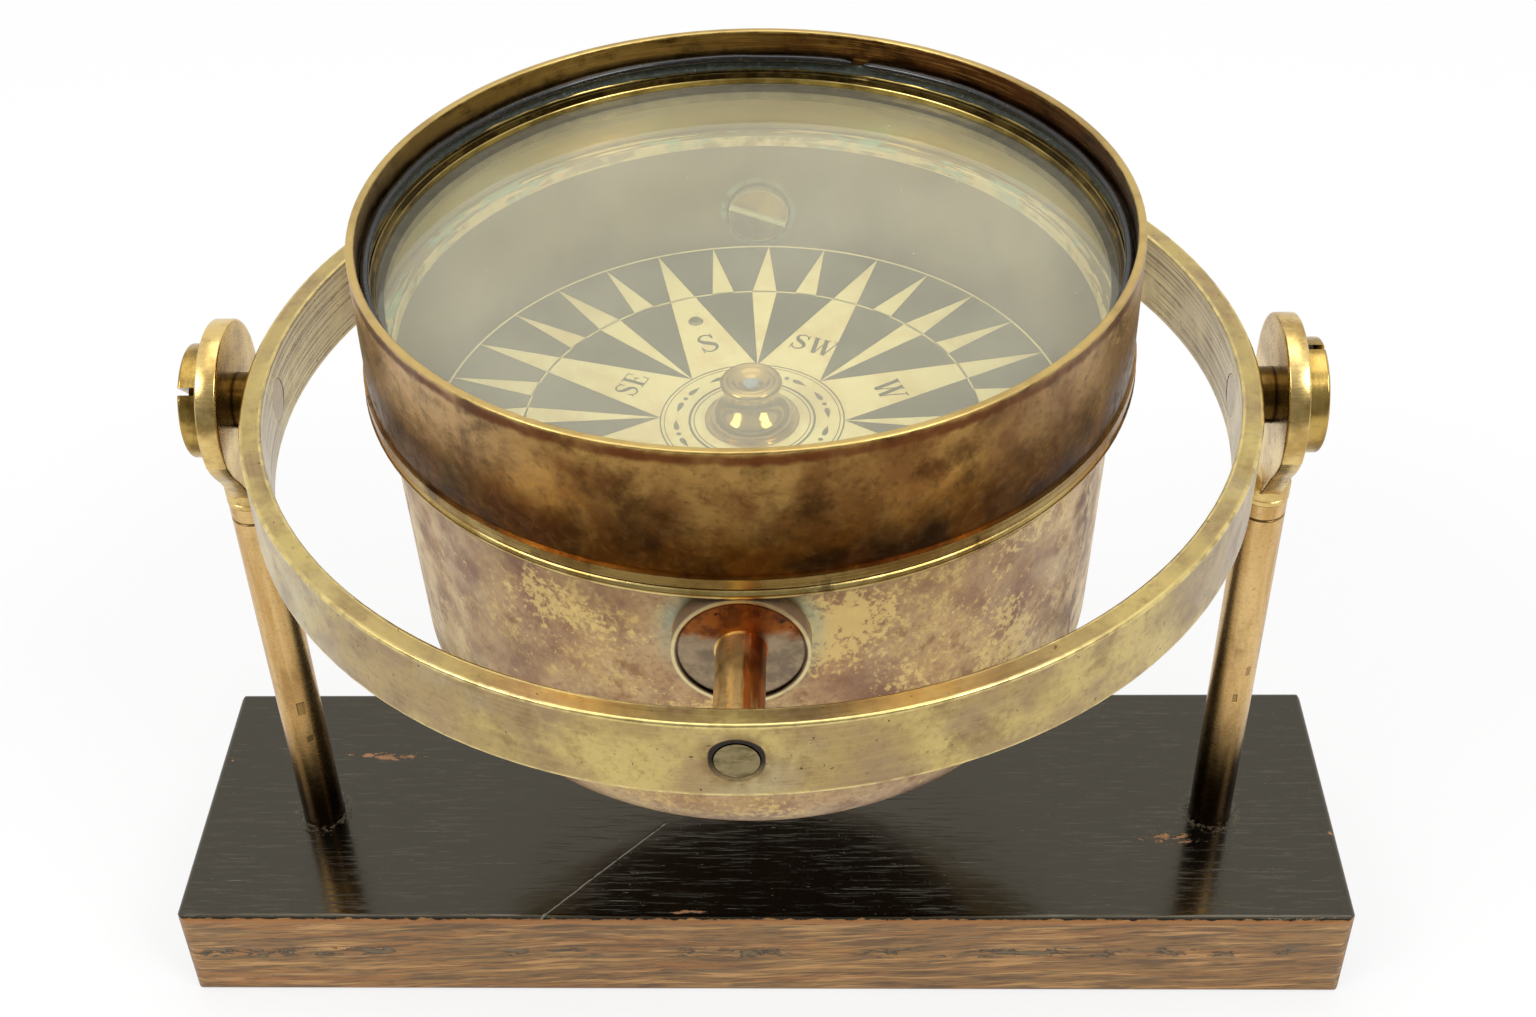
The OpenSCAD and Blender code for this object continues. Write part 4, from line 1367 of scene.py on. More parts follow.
@dataclass(frozen=True)
class Capitals:
    """Bold roman capitals with thick and thin strokes, one unit high."""

    thick: float = 0.19
    thin: float = 0.06
    serif: float = 0.05

    def width(self, letter: Letter) -> float:
        """Gives a letter's width for a height of 1."""
        return {Letter.N: 0.95, Letter.E: 0.78, Letter.S: 0.68, Letter.W: 1.2}[letter]

    def strokes(self, letter: Letter) -> list[np.ndarray]:
        """Gives the outlines that make up a letter, from x = 0 to its width."""
        return {Letter.N: self._n, Letter.E: self._e, Letter.S: self._s, Letter.W: self._w}[letter]()

    def _n(self) -> list[np.ndarray]:
        """N: two thin stems, a thick slope and three serifs.

        Returns:
            The outlines of its strokes.
        """
        s = self.serif
        return [
            bar(0.17, 0, 0.17, 1, self.thin), bar(0.8, 0, 0.8, 1, self.thin), bar(0.78, 0, 0.16, 1, self.thick),
            block(0.02, 0, 0.32, s), block(0.0, 1 - s, 0.2, 1), block(0.64, 1 - s, 0.95, 1),
        ]

    def _e(self) -> list[np.ndarray]:
        """E: a thick stem, three thin arms and their serifs.

        Returns:
            The outlines of its strokes.
        """
        s = self.serif
        return [
            block(0.12, 0, 0.12 + self.thick, 1), block(0, 0, 0.72, s), block(0, 1 - s, 0.68, 1),
            block(0.2, 0.49, 0.54, 0.49 + s), np.array([[0.66, 0], [0.72, 0], [0.76, 0.3], [0.71, 0.3]]),
            np.array([[0.63, 1], [0.68, 1], [0.7, 0.73], [0.66, 0.73]]), block(0.5, 0.38, 0.545, 0.64),
        ]

    def _s(self) -> list[np.ndarray]:
        """S: one smooth line, thick along its middle slope, with two upright serifs.

        Returns:
            The outlines of its strokes.
        """
        knots = np.array([
            [0.585, 0.76], [0.52, 0.9], [0.35, 0.972], [0.17, 0.9], [0.105, 0.75], [0.2, 0.6], [0.36, 0.51],
            [0.53, 0.4], [0.6, 0.25], [0.5, 0.09], [0.32, 0.025], [0.15, 0.1], [0.07, 0.26],
        ])
        line = smooth_line(knots, 60)
        along = np.linspace(-1, 1, len(line))
        width = self.thin + (self.thick - self.thin) * 1.05 * np.exp(-((along / 0.38) ** 2))
        slope = np.gradient(line, axis=0)
        side = np.column_stack([-slope[:, 1], slope[:, 0]]) / np.linalg.norm(slope, axis=1)[:, None]
        edge = side * width[:, None] / 2
        outline = np.vstack([line + edge, (line - edge)[::-1]])
        return [outline, block(0.565, 0.7, 0.61, 1.0), block(0.045, 0.0, 0.09, 0.33)]

    def _w(self) -> list[np.ndarray]:
        """W: two thick and two thin slopes under three serifs.

        Returns:
            The outlines of its strokes.
        """
        s = self.serif
        return [
            bar(0.36, 0, 0.13, 1, self.thick), bar(0.38, 0, 0.6, 0.86, self.thin),
            bar(0.8, 0, 0.56, 1, self.thick), bar(0.82, 0, 1.07, 1, self.thin),
            block(0.0, 1 - s, 0.3, 1), block(0.45, 1 - s, 0.74, 1), block(0.95, 1 - s, 1.2, 1),
        ]


# --- the compass card


@dataclass(frozen=True)
class Word:
    """One name on the card: its capitals, their height, their place outwards and sideways, in millimetres."""

    text: str
    height: float
    out: float
    side: float


@dataclass
class Rose:
    """The printed card: a 32-point rose in cream on black, two rings, letters and small ornaments.

    Bearings run clockwise from north, seen from above; north lies at north_deg from +X.
    """

    north_deg: float = 290.5
    face_mm: float = CARD_FACE_MM
    line_outer: tuple[float, float] = (48.0, 48.35)
    line_middle: tuple[float, float] = (34.35, 34.65)
    hub_mm: float = 14.0
    hole_mm: float = 4.85
    broad_half_deg: float = 22.3
    kite_half_mm: float = 2.0
    small_half_mm: float = 1.78
    ornament_mm: float = 11.5
    ornament_deg: float = 2.0
    ornaments: int = 8
    drop_mm: tuple[float, float] = (1.3, 0.62)
    drop_side_mm: float = 2.35
    dot_mm: float = 0.38
    paper_mm: float = 0.03
    ink_mm: float = 0.05
    stretch: float = 0.92
    gap: float = 0.1
    words: tuple[Word, ...] = (
        Word("N", 4.7, 21.2, 0.2), Word("NE", 3.75, 20.9, 0.3), Word("E", 4.5, 21.4, -0.2), Word("SE", 3.75, 20.9, 0.3),
        Word("S", 4.8, 21.2, -0.1), Word("SW", 4.05, 21.3, 0.6), Word("W", 4.3, 22.2, 0.6), Word("NW", 3.75, 20.9, 0.2),
    )
    lines: tuple[tuple[float, float], ...] = ((13.75, 13.98), (13.2, 13.34), (9.25, 9.62), (8.7, 8.86))
    capitals: Capitals = field(default_factory=Capitals)

    def along(self, bearing_deg: float, points: np.ndarray) -> np.ndarray:
        """Turns points drawn with +Y towards a bearing into the card's place.

        Args:
            bearing_deg: The bearing.
            points: Points, shape (n, 2).

        Returns:
            The turned points.
        """
        angle = math.radians(self.north_deg - bearing_deg - 90)
        turn = np.array([[math.cos(angle), -math.sin(angle)], [math.sin(angle), math.cos(angle)]])
        return points @ turn.T

    def arc(self, radius: float, half_deg: float, steps: int = 9) -> np.ndarray:
        """Gives points of a circle's arc about +Y, from right to left."""
        angle = np.radians(np.linspace(90 - half_deg, 90 + half_deg, steps))
        return radius * np.column_stack([np.cos(angle), np.sin(angle)])

    def points(self) -> Ink:
        """Draws the cream shapes: 8 broad points, 8 narrow kites, 16 short ones and the circles.

        Returns:
            The printed sheet.
        """
        sheet = Ink(self.face_mm - 0.01, self.face_mm + self.paper_mm)
        tip = np.array([[0.0, self.line_outer[0] + 0.1]])
        middle = self.line_middle[0]
        for k in range(8):
            broad = np.vstack([self.arc(self.hub_mm, self.broad_half_deg), tip])
            sheet.plate(self.along(45 * k, broad))
            half = self.kite_half_mm
            kite = np.array([[0, self.hub_mm], [half, middle], [0, tip[0, 1]], [-half, middle]])
            sheet.plate(self.along(45 * k + 22.5, kite))
        half = math.degrees(self.small_half_mm / middle)
        for k in range(16):
            sheet.plate(self.along(22.5 * k + 11.25, np.vstack([self.arc(middle, half, 5), tip])))
        sheet.hoop(*self.line_outer)
        sheet.hoop(*self.line_middle)
        sheet.hoop(self.hole_mm, self.hub_mm)
        return sheet

    def print_word(self, sheet: Ink, word: Word, bearing: float) -> None:
        """Prints one or two capitals on a point, their tops outwards.

        Args:
            sheet: The ink that takes them.
            word: The name and its place.
            bearing: The point's bearing in degrees.
        """
        letters = [Letter(c) for c in word.text]
        total = sum(self.capitals.width(c) for c in letters) + self.gap * (len(letters) - 1)
        start = -total / 2
        size = word.height * np.array([self.stretch, 1.0])
        for letter in letters:
            for outline in self.capitals.strokes(letter):
                sheet.plate(self.along(bearing, (outline + [start, -0.5]) * size + [word.side, word.out]))
            start += self.capitals.width(letter) + self.gap

    def bent(self, shape: np.ndarray, bearing: float) -> np.ndarray:
        """Bends a shape drawn along and across a straight line onto the ornaments' circle.

        Args:
            shape: Points, x along the circle and y outwards.
            bearing: The bearing of its middle.

        Returns:
            The bent points.
        """
        radius = self.ornament_mm + shape[:, 1]
        angle = math.radians(90) - shape[:, 0] / self.ornament_mm
        return self.along(bearing, radius[:, None] * np.column_stack([np.cos(angle), np.sin(angle)]))

    def print_ink(self) -> Ink:
        """Draws the black on cream: letters, the double circles, and drops and dots between them.

        Returns:
            The printed sheet.
        """
        sheet = Ink(self.face_mm + self.paper_mm - 0.01, self.face_mm + self.ink_mm)
        for k, word in enumerate(self.words):
            self.print_word(sheet, word, 45 * k)
        for inner, outer in self.lines:
            sheet.hoop(inner, outer)
        turn = np.linspace(0, 2 * np.pi, 28, endpoint=False)
        length, width = self.drop_mm
        drop = np.column_stack([-length * np.cos(turn), width * np.sin(turn) * np.sin(turn / 2) ** 1.6])
        dot = self.dot_mm * np.column_stack([np.cos(turn), np.sin(turn)])
        for k in range(self.ornaments):
            bearing = 360 / self.ornaments * k + self.ornament_deg
            sheet.plate(self.bent(dot, bearing))
            for side in (-1, 1):
                sheet.plate(self.bent((drop * [-1, 1] + [self.drop_side_mm, 0]) * [side, 1], bearing))
        return sheet

    def build(self, cream: Material, black: Material) -> None:
        """Prints the card's two layers and lets them ride with it.

        Args:
            cream: The finish of the points.
            black: The finish of the letters and lines.
        """
        self.points().piece("rose_points", cream, "rose", "printed_card")
        self.print_ink().piece("rose_letters", black, "rose", "printed_card")
        LOG.info("rose: points, rings, letters and ornaments")


# --- the whole compass


def dress(node: str, material: Material) -> None:
    """Gives a CAD node its finish.

    Args:
        node: The node's name.
        material: The finish.
    """
    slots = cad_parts[node].data.materials
    slots.clear()
    slots.append(material)


@dataclass
class Eye:
    """One eye: a flat disc with rounded edges and a bore, whose neck widens into a round foot on the post."""

    side: int
    post_mm: float = POST_MM
    level_mm: float = PIVOT_MM
    radius_mm: float = 12.1
    half_mm: float = 1.6
    edge_mm: float = 0.5
    bore_mm: float = 4.3
    shoulder_mm: tuple[float, float] = (8.59, 8.52)
    foot_mm: float = 3.7
    neck_mm: float = 16.0
    flare_mm: float = 2.4
    foot_low_mm: float = 92.2
    spigot_mm: tuple[float, float] = (2.0, 9.0)
    blend_mm: float = 0.25
    edge_power: float = 0.8
    turn_steps: int = 180
    face_steps: int = 14
    edge_steps: int = 11
    foot_steps: int = 72

    def outline(self, turn: np.ndarray) -> np.ndarray:
        """Gives the plate's reach in each direction: the disc, or further down the neck's two slopes to the foot.

        Args:
            turn: Directions in radians, from +Y towards +Z.

        Returns:
            The reach in millimetres in each direction.
        """
        across, down = np.abs(np.cos(turn)), -np.sin(turn)
        run, fall = self.shoulder_mm[0] - self.foot_mm, self.neck_mm - self.shoulder_mm[1]
        length = math.hypot(run, fall)
        slope = (self.shoulder_mm[0] * fall + self.shoulder_mm[1] * run) / length
        toward = (across * fall + down * run) / length
        neck = slope / np.maximum(toward, 0.05)
        foot = (self.neck_mm + 0.6) / np.maximum(down, 0.05)
        reach = np.where(down > 0.3, np.minimum(neck, foot), self.radius_mm)
        extra = reach - self.radius_mm
        return self.radius_mm + np.logaddexp(0, extra / self.blend_mm) * self.blend_mm

    def plate(self) -> Shell:
        """Builds the plate: for each direction a loop from the bore out along one face, round the edge and back.

        Returns:
            Its points and faces.
        """
        turn = np.linspace(0, 2 * np.pi, self.turn_steps, endpoint=False)[:, None]
        reach = self.outline(turn)
        out = np.linspace(0, 1, self.face_steps)
        round_edge = np.linspace(-np.pi / 2, np.pi / 2, self.edge_steps + 2)[1:-1]
        edge_out = np.cos(round_edge) ** self.edge_power
        edge_side = np.sign(round_edge) * np.abs(np.sin(round_edge)) ** self.edge_power
        flat = self.bore_mm + (reach - self.edge_mm - self.bore_mm) * out
        rim = reach - self.edge_mm + self.edge_mm * edge_out
        radius = np.concatenate([flat, rim, flat[:, ::-1]], 1)
        share = 1 - self.edge_mm / self.half_mm
        edge_side = np.sign(edge_side) * (share + (1 - share) * np.abs(edge_side))
        face = np.ones(self.face_steps)
        side = np.concatenate([-face, edge_side, face])[None, :] * np.ones_like(radius)
        y, z = radius * np.cos(turn), radius * np.sin(turn)
        drop = np.clip((-z - (self.neck_mm - self.flare_mm)) / self.flare_mm, 0, 1)
        drop = drop * drop * (3 - 2 * drop)
        round_foot = np.sqrt(np.maximum(self.foot_mm**2 - y * y, 0.6))
        half = self.half_mm + (np.maximum(round_foot, self.half_mm) - self.half_mm) * drop
        x = self.side * self.post_mm + side * half
        return hoop_shell(np.stack([x, y, z + self.level_mm], 2))

    def foot(self) -> Shell:
        """Builds the foot and the spigot below it: a profile carried round the post's axis, with closed ends.

        Returns:
            Its points and faces.
        """
        low, top = self.foot_low_mm, self.level_mm - self.neck_mm
        r, (thin, deep) = self.foot_mm, self.spigot_mm
        profile = np.array([
            [thin - 0.3, low - deep], [thin, low - deep + 0.3], [thin, low], [r - 0.15, low], [r, low + 0.15],
            [r, low + 0.9], [r - 0.1, low + 1.0], [r - 0.1, low + 1.15], [r, low + 1.25], [r, top],
            [r - 0.08, top + 0.25], [r - 0.5, top + 0.55], [r - 1.4, top + 0.8],
        ])
        rings = np.transpose(turned_loop(profile, self.foot_steps), (1, 0, 2)) + [self.side * self.post_mm, 0, 0]
        return capped_shell(rings)

    def build(self, material: Material) -> None:
        """Makes the eye in place of its CAD node.

        Args:
            material: The finish.
        """
        name = "left_eye" if self.side < 0 else "right_eye"
        piece = new_piece(f"{name}_turned", joined([self.plate(), self.foot()]), material, "stand")
        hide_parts(name)


@dataclass
class Stand:
    """The wooden base, the two rods and the eyes on them."""

    wood: EbonisedWood = field(default_factory=EbonisedWood)
    rod: DrawnRodBrass = field(default_factory=DrawnRodBrass)
    eye: RubbedBrass = field(
        default_factory=lambda: RubbedBrass("E0C27E", "B29254", "846438", "Turned_brass_eye", 0.22, 0.55)
    )
    screw: PivotScrewBrass = field(default_factory=PivotScrewBrass)

    def build(self) -> None:
        """Dresses the stand and its screws, and makes the eyes."""
        dress("base", self.wood.material())
        rod, eye, screw = self.rod.material(), self.eye.material(), self.screw.material()
        for name, side in (("left", -1), ("right", 1)):
            dress(f"{name}_post", rod)
            dress(f"{name}_pivot_screw", screw)
            Eye(side).build(eye)
        LOG.info("stand: base, posts, eyes and screws")


@dataclass
class Gimbal:
    """The flat ring."""

    strip: AgedRingBrass = field(default_factory=AgedRingBrass)

    def build(self) -> None:
        """Dresses the ring."""
        dress("gimbal_ring", self.strip.material())
        LOG.info("gimbal: ring")


@dataclass
class RimStack:
    """What lies on the glass: the moulded holder, the uneven putty on it and the split wire over both."""

    inner_mm: float = 52.25
    outer_mm: float = 54.15
    glass_mm: float = 135.4
    top_mm: float = 137.5
    putty_rise_mm: tuple[float, float] = (1.38, 0.3)  # mean and waver
    putty_reach_mm: tuple[float, float] = (0.62, 0.2)
    wire_mm: float = 53.4
    wire_level_mm: float = 139.43
    wire_half_mm: float = 0.68
    wire_open_deg: float = 2.2
    wire_at_deg: float = 72.0
    holder_steps: int = 320
    putty_steps: int = 480
    wire_steps: int = 420
    wire_sides: int = 16
    brass: MouldedHolderBrass = field(default_factory=MouldedHolderBrass)
    paste: PlainSurface = PlainSurface(
        "Glazing_putty_hard", "20281F", "3C443A", 0.6, lump_mm=1.2, depth_mm=0.06, specks="8C8A70"
    )
    lacquer: PlainSurface = PlainSurface(
        "Iron_wire_black_lacquer", "0C0B0B", "1C1917", 0.22, depth_mm=0.01, specks="5A564C"
    )

    def holder(self) -> Shell:
        """Builds the holder: a moulding of a bead, a step and a hollow, carried round.

        Returns:
            Its points and faces.
        """
        inner, low, top = self.inner_mm, self.glass_mm, self.top_mm
        profile = np.array([
            [inner + 0.1, low], [self.outer_mm, low], [self.outer_mm, top], [53.82, top], [53.7, top - 0.12],
            [53.55, top - 0.42], [53.35, top - 0.55], [53.18, top - 0.42], [53.02, top - 0.38], [52.86, top - 0.46],
            [52.78, top - 0.66], [52.72, top - 1.0], [52.55, top - 1.08], [52.36, top - 1.12], [52.26, top - 1.25],
            [inner, top - 1.45], [inner, low + 0.1],
        ])
        return hoop_shell(turned_loop(profile, self.holder_steps))

    def putty(self) -> Shell:
        """Builds the putty: a hollow-faced fillet whose upper and inner edges wander round the rim.

        Returns:
            Its points and faces.
        """
        turn = np.linspace(0, 2 * np.pi, self.putty_steps, endpoint=False)
        mean, waver = self.putty_rise_mm
        rise = mean + waver * ripple(turn, 3, (4, 90))
        mean, waver = self.putty_reach_mm
        reach = mean + waver * ripple(turn, 5, (5, 80))
        t = np.linspace(0, 1, 9)[None, :]
        foot = self.outer_mm - reach[:, None]
        radius = foot + reach[:, None] * t
        level = self.top_mm - 0.05 + rise[:, None] * t**1.7
        level = level + 0.06 * ripple(turn, 9, (40, 160), 40)[:, None] * np.sin(np.pi * t)
        seat = np.full(self.putty_steps, self.top_mm - 0.1)
        under = np.stack([np.full(self.putty_steps, self.outer_mm), seat], 1)[:, None]
        front = np.stack([foot[:, 0], seat], 1)[:, None]
        profile = np.concatenate([front, under, np.stack([radius, level], 2)[:, ::-1]], 1)
        return hoop_shell(turned_loop(profile, self.putty_steps))

    def wire(self) -> Shell:
        """Builds the wire: a round section along an open circle that wanders a little up and down.

        Returns:
            Its points and faces.
        """
        start = math.radians(self.wire_at_deg + self.wire_open_deg / 2)
        end = start + math.radians(360 - self.wire_open_deg)
        turn = np.linspace(start, end, self.wire_steps)
        radius = self.wire_mm - 0.02 + 0.04 * ripple(turn, 11, (4, 40))
        level = self.wire_level_mm + 0.12 * ripple(turn, 12, (2, 30))
        around = np.linspace(0, 2 * np.pi, self.wire_sides, endpoint=False)
        section = self.wire_half_mm * (1 + 0.04 * ripple(turn, 13, (30, 200), 40))[:, None]
        from_end = np.arange(self.wire_steps)
        from_end = np.minimum(from_end, from_end[::-1])
        section = section * np.minimum(1, from_end * 0.3 + 0.55)[:, None]
        r = radius[:, None] + section * np.cos(around)
        z = level[:, None] + section * np.sin(around)
        return capped_shell(np.stack([r * np.cos(turn)[:, None], r * np.sin(turn)[:, None], z], 2))

    def build(self) -> None:
        """Makes the three rings in place of their CAD nodes."""
        brass = self.brass.material()
        holder = new_piece("glass_holder_moulded", self.holder(), brass, "bowl", smooth=24)
        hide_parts("glass_holder")
        putty = new_piece("glass_putty_smeared", self.putty(), self.paste.material(), "bowl")
        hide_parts("glass_putty")
        wire = new_piece("split_wire_bent", self.wire(), self.lacquer.material(), "bowl")
        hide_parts("split_wire")
        LOG.info("rim: holder, putty, wire")


@dataclass
class Bowl:
    """The bowl with its case, glass stack, trunnions and weight."""

    case: DarkCaseBrass = field(default_factory=DarkCaseBrass)
    body: MottledBowlBrass = field(default_factory=MottledBowlBrass)
    boss: BossBrass = field(default_factory=BossBrass)
    seam: SeamBrass = field(default_factory=SeamBrass)
    glass: HazyGlass = field(default_factory=HazyGlass)
    rim: RimStack = field(default_factory=RimStack)

    def build(self) -> None:
        """Dresses the bowl and makes the rings in its rim."""
        dress("upper_case", self.case.material())
        dress("lower_bowl", self.body.material())
        boss = self.boss.material()
        for end in ("front", "rear"):
            dress(f"{end}_trunnion", boss)
            dress(f"{end}_inner_screw", boss)
        dress("seam_bead", self.seam.material())
        dress("glass_seat", PlainSurface("Turned_brass_seat_dull", "A89C78", "8E8264", 0.5, 1.0, 3.0).material())
        dress("pivot_column", RubbedBrass(name="Turned_brass_column").material())
        dress("glass", self.glass.material())
        dress("ballast", PlainSurface("Cast_lead_dull", "6A6E72", "4C5054", 0.6, 1.0, 4.0, 0.1).material())
        dress("pivot_pin", PlainSurface("Hardened_steel_ground", "A6A9AD", "8E9297", 0.25, 1.0).material())
        self.rim.build()
        LOG.info("bowl: case, bowl, trunnions, ballast")


@dataclass
class Cap:
    """The card's turned cap: tube, flange, bell-shaped body, neck and a ringed collar with a funnel to the jewel."""

    flange_mm: float = 7.15
    tube_mm: float = 4.8
    hollow_mm: float = 3.2
    hole_mm: float = 1.25
    foot_mm: float = 102.2
    face_mm: float = CARD_FACE_MM
    knob_low_mm: float = 111.3
    steps: int = 128
    brass: RubbedBrass = RubbedBrass("BFA56C", "A48A56", "82663C", "Turned_brass_cap", 0.07, 0.25, 0.5)

    def profile(self) -> np.ndarray:
        """Gives the loop along the flange, up the bell to its neck, round the collar and down the hole.

        Returns:
            Radius and height in millimetres, shape (loop, 2).
        """
        face, low = self.face_mm, self.knob_low_mm
        bell = np.array([
            [6.18, face + 0.8], [6.12, face + 1.15], [5.92, face + 1.6], [5.6, face + 2.1], [5.15, face + 2.6],
            [4.6, face + 3.1], [4.1, face + 3.6], [3.7, face + 4.15], [3.42, face + 4.8], [3.3, face + 5.4],
        ])
        foot = [
            [self.hollow_mm, self.foot_mm], [self.tube_mm, self.foot_mm], [self.tube_mm, face],
            [self.flange_mm - 0.12, face],
        ]
        flange = [
            [self.flange_mm, face + 0.12], [self.flange_mm, face + 0.35], [self.flange_mm - 0.14, face + 0.52],
            [6.6, face + 0.58], [6.42, face + 0.5], [6.26, face + 0.5], [6.19, face + 0.6],
        ]
        collar = [
            [3.32, low + 0.05], [3.5, low + 0.25], [3.95, low + 0.42], [4.4, low + 0.56], [4.6, low + 0.78],
            [4.65, low + 1.05], [4.58, low + 1.32], [4.38, low + 1.56], [4.1, low + 1.7], [3.8, low + 1.74],
            [3.6, low + 1.68], [3.48, low + 1.54], [3.36, low + 1.5], [3.2, low + 1.58], [3.0, low + 1.6],
            [2.8, low + 1.52], [2.5, low + 1.34], [2.2, low + 1.26], [2.0, low + 1.28], [1.85, low + 1.22],
            [1.5, low + 1.06], [self.hole_mm, low + 0.94], [self.hole_mm, low - 1.2], [self.hollow_mm, low - 3.1],
        ]
        line = smooth_line(bell, 40)
        return np.array(foot + flange + line.tolist() + collar)

    def build(self) -> None:
        """Makes the cap in place of its CAD node."""
        shell = hoop_shell(turned_loop(self.profile(), self.steps))
        piece = new_piece("card_cap_turned", shell, self.brass.material(), "rose", smooth=35)
        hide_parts("card_cap")


@dataclass
class Card:
    """The card with its cap, magnet and rivets."""

    rose: Rose = field(default_factory=Rose)
    cap: Cap = field(default_factory=Cap)

    def build(self) -> None:
        """Dresses the card's pieces, prints the rose and makes the cap."""
        cream = PrintedPaper("Rag_paper_printed_cream", "E7E4C4", "D2BE98", "DCC1A0").material()
        black = PrintedPaper("Printing_ink_black", "182226", "26302F", "505C5A", 0.5, engraved=True).material()
        dress("card", black)
        dress("cap_jewel", PlainSurface("Agate_polished", "6074B8", "98A8D4", 0.1).material())
        dress("needle", PlainSurface("Spring_steel_blued", "3A3F48", "5A5C60", 0.35, 1.0, 6.0).material())
        rivet = PlainSurface("Iron_rivet_dull", "8A8C84", "5E605A", 0.45, 1.0, 1.2).material()
        for end in ("north", "south"):
            dress(f"{end}_rivet", rivet)
        self.rose.build(cream, black)
        self.cap.build()
        LOG.info("card: cap, jewel, magnet, rivets")


@dataclass(frozen=True)
class Lamp:
    """A square soft lamp: its place and side in metres, and its power in watts."""

    name: str
    place: tuple[float, float, float]
    size: float
    watts: float


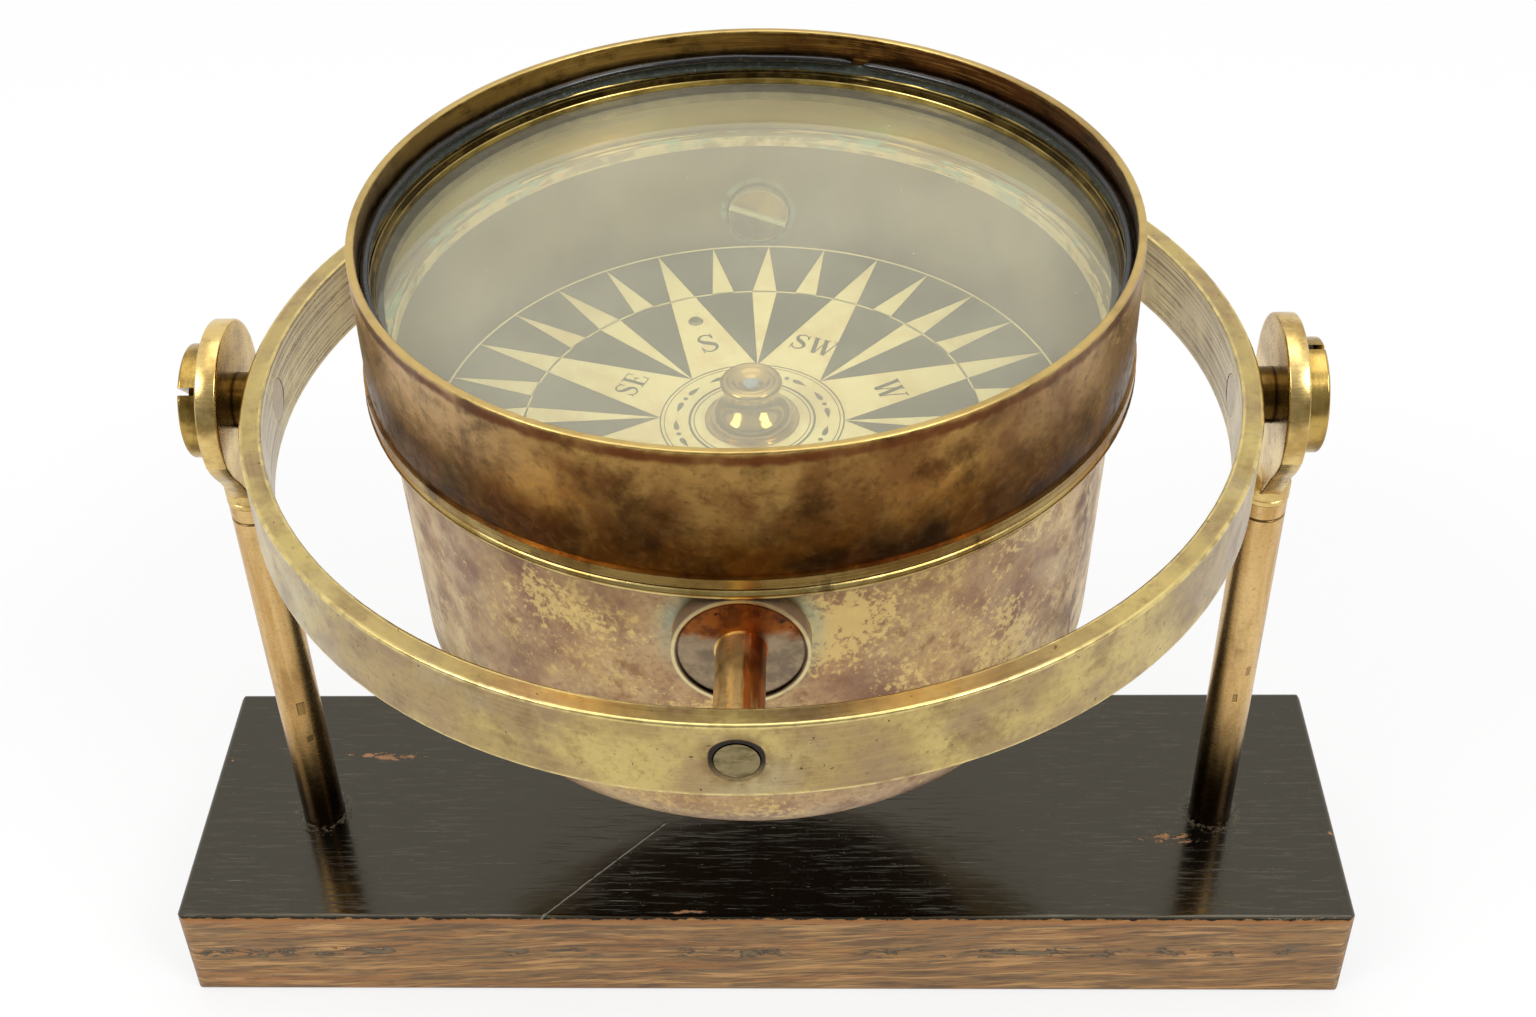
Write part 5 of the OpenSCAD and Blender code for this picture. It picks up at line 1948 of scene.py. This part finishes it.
@dataclass
class Studio:
    """A pale floor, a white surround with a dimmer room in front, two lamps and a soft light above.

    The camera's place and lens were solved from measured points of the photograph: f_px is its
    focal length for a picture 1,536 pixels wide.
    """

    eye_mm: tuple[float, float, float] = (10.50, -246.03, 292.66)
    yaw_deg: float = -1.97
    pitch_deg: float = 39.54
    roll_deg: float = -1.48
    f_px: float = 2042.2
    photo_px: int = 1536
    sensor_mm: float = 36.0
    near_m: float = 0.01
    floor_m: float = 12.0
    front_mm: tuple[float, float] = (-900.0, -330.0)
    # reach of the painted shadow that the floor shows in reflections
    under_mm: tuple[float, float] = (100.0, 190.0)
    shadow_mm: tuple[float, float] = (250.0, 900.0)
    paper: str = "EEEEEE"
    paper_dim: str = "606060"
    white: float = 0.72
    ambient: float = 0.55
    room: float = 0.3
    aim: tuple[float, float, float] = (0.0, 0.0, 0.1)
    lamps: tuple[Lamp, ...] = (
        Lamp("lamp_left", (-0.74, -0.42, 0.9), 0.42, 5.2),
        Lamp("lamp_right", (0.64, -0.46, 0.9), 0.42, 5.2),
        Lamp("lamp_above", (0.0, 0.25, 1.3), 0.9, 5.0),
    )

    def camera(self) -> None:
        """Builds the camera: forward, right and up from yaw, pitch and roll, roll turning right towards up."""
        yaw, pitch, roll = (math.radians(v) for v in (self.yaw_deg, self.pitch_deg, self.roll_deg))
        forward = Vector((math.sin(yaw) * math.cos(pitch), math.cos(yaw) * math.cos(pitch), -math.sin(pitch)))
        level = Vector((math.cos(yaw), -math.sin(yaw), 0))
        above = level.cross(forward)
        right = level * math.cos(roll) + above * math.sin(roll)
        up = above * math.cos(roll) - level * math.sin(roll)
        data = bpy.data.cameras.new("camera")
        data.sensor_width = self.sensor_mm
        data.lens = self.f_px * self.sensor_mm / self.photo_px
        data.clip_start = self.near_m
        camera = bpy.data.objects.new("camera", data)
        turn = Matrix((right, up, -forward)).transposed().to_4x4()
        camera.matrix_world = Matrix.Translation(Vector(self.eye_mm) * MM) @ turn
        bpy.context.scene.collection.objects.link(camera)
        bpy.context.scene.camera = camera

    def shown(self, tree: NodeTree) -> Socket:
        """Gives 1 for rays of the camera, of reflections and through glass, where the background shows as white.

        Args:
            tree: The tree that takes the nodes.

        Returns:
            The mask.
        """
        rays = add(tree, "LightPath").outputs
        seen = add(tree, "Math", {0: rays["Is Camera Ray"], 1: rays["Is Glossy Ray"]}, operation="MAXIMUM").outputs[0]
        return add(tree, "Math", {0: seen, 1: rays["Is Transmission Ray"]}, operation="MAXIMUM").outputs[0]

    def floor(self) -> None:
        """Lays the floor: white paper that keeps a soft shadow under the object and fades to plain white far off."""
        half = self.floor_m / 2
        mesh = bpy.data.meshes.new("floor")
        mesh.from_pydata([(-half, -half, 0), (half, -half, 0), (half, half, 0), (-half, half, 0)], [], [(0, 1, 2, 3)])
        p = Paint("Paper_floor_white")
        rays = add(p.tree, "LightPath").outputs
        front = p.between(p.y, *self.front_mm, 1.0, 0.0)
        colour = p.mix(p.both(front, rays["Is Glossy Ray"]), self.paper, self.paper_dim)
        paper = add(p.tree, "BsdfDiffuse", {"Color": colour})
        glow = add(p.tree, "Emission", {"Color": (1, 1, 1, 1), "Strength": 1.0})
        room = p.node("Math SUBTRACT", 1.0, p.both(front, rays["Is Glossy Ray"], 1 - self.room))
        # painted shadow: in reflections the floor is half as bright close round the object
        under = p.both(p.between(p.radius(), *self.under_mm, 1.0, 0.0), rays["Is Glossy Ray"], 0.5)
        under = p.node("Math SUBTRACT", 1.0, under)
        amount = p.both(p.between(p.radius(), *self.shadow_mm, self.white, 1.0), self.shown(p.tree), room, under)
        surface = add(p.tree, "MixShader", {0: amount, 1: paper.outputs[0], 2: glow.outputs[0]})
        add(p.tree, "OutputMaterial", {"Surface": surface.outputs[0]})
        mesh.materials.append(p.material)
        floor = bpy.data.objects.new("floor", mesh)
        bpy.context.scene.collection.objects.link(floor)

    def surround(self) -> None:
        """Makes the world white to the camera; as light it is softer, and in reflections the room in front is dim."""
        world = bpy.data.worlds.new("surround")
        world.use_nodes = True
        tree = world.node_tree
        tree.nodes.clear()
        _, y, z = add(tree, "SeparateXYZ", {0: add(tree, "TexCoord").outputs["Generated"]}).outputs
        smooth = {"interpolation_type": "SMOOTHSTEP"}
        front = add(
            tree, "MapRange", {"Value": y, "From Min": -0.5, "From Max": 0.15, "To Min": 1.0, "To Max": 0.0}, **smooth
        )
        over = add(tree, "Math", {0: z, 1: 0.25}, operation="SUBTRACT").outputs[0]
        height = add(tree, "Math", {0: over}, operation="ABSOLUTE")
        level = add(
            tree, "MapRange",
            {"Value": height.outputs[0], "From Min": 0.45, "From Max": 0.75, "To Min": 1.0, "To Max": 0.0}, **smooth
        )
        dim = add(tree, "Math", {0: front.outputs[0], 1: level.outputs[0]}, operation="MULTIPLY").outputs[0]
        glossy = add(tree, "LightPath").outputs["Is Glossy Ray"]
        dim = add(tree, "Math", {0: dim, 1: glossy}, operation="MULTIPLY").outputs[0]
        bright = add(tree, "MapRange", {"Value": dim, "To Min": 1.0, "To Max": self.room}).outputs[0]
        strength = add(tree, "MapRange", {"Value": self.shown(tree), "To Min": self.ambient, "To Max": bright})
        light = add(tree, "Background", {"Color": (1, 1, 1, 1), "Strength": strength.outputs[0]})
        add(tree, "OutputWorld", {"Surface": light.outputs[0]})
        bpy.context.scene.world = world

    def hang(self, lamp: Lamp) -> None:
        """Hangs a lamp that is aimed at the bowl.

        Args:
            lamp: Its name, place, size and power.
        """
        data = bpy.data.lights.new(lamp.name, "AREA")
        data.size, data.energy = lamp.size, lamp.watts
        light = bpy.data.objects.new(lamp.name, data)
        light.location = lamp.place
        toward = Vector(self.aim) - Vector(lamp.place)
        light.rotation_euler = toward.to_track_quat("-Z", "Y").to_euler()
        bpy.context.scene.collection.objects.link(light)

    def build(self) -> None:
        """Sets up the studio."""
        self.camera()
        self.floor()
        self.surround()
        for lamp in self.lamps:
            self.hang(lamp)
        bpy.context.scene.view_settings.view_transform = "Standard"
        LOG.info("studio: camera, floor, surround, lamps")


def main() -> None:
    """Builds the compass and the studio."""
    logging.basicConfig(level=logging.INFO, format="%(message)s")
    Studio().build()
    Stand().build()
    Gimbal().build()
    Bowl().build()
    Card().build()


if __name__ == "__main__":
    main()
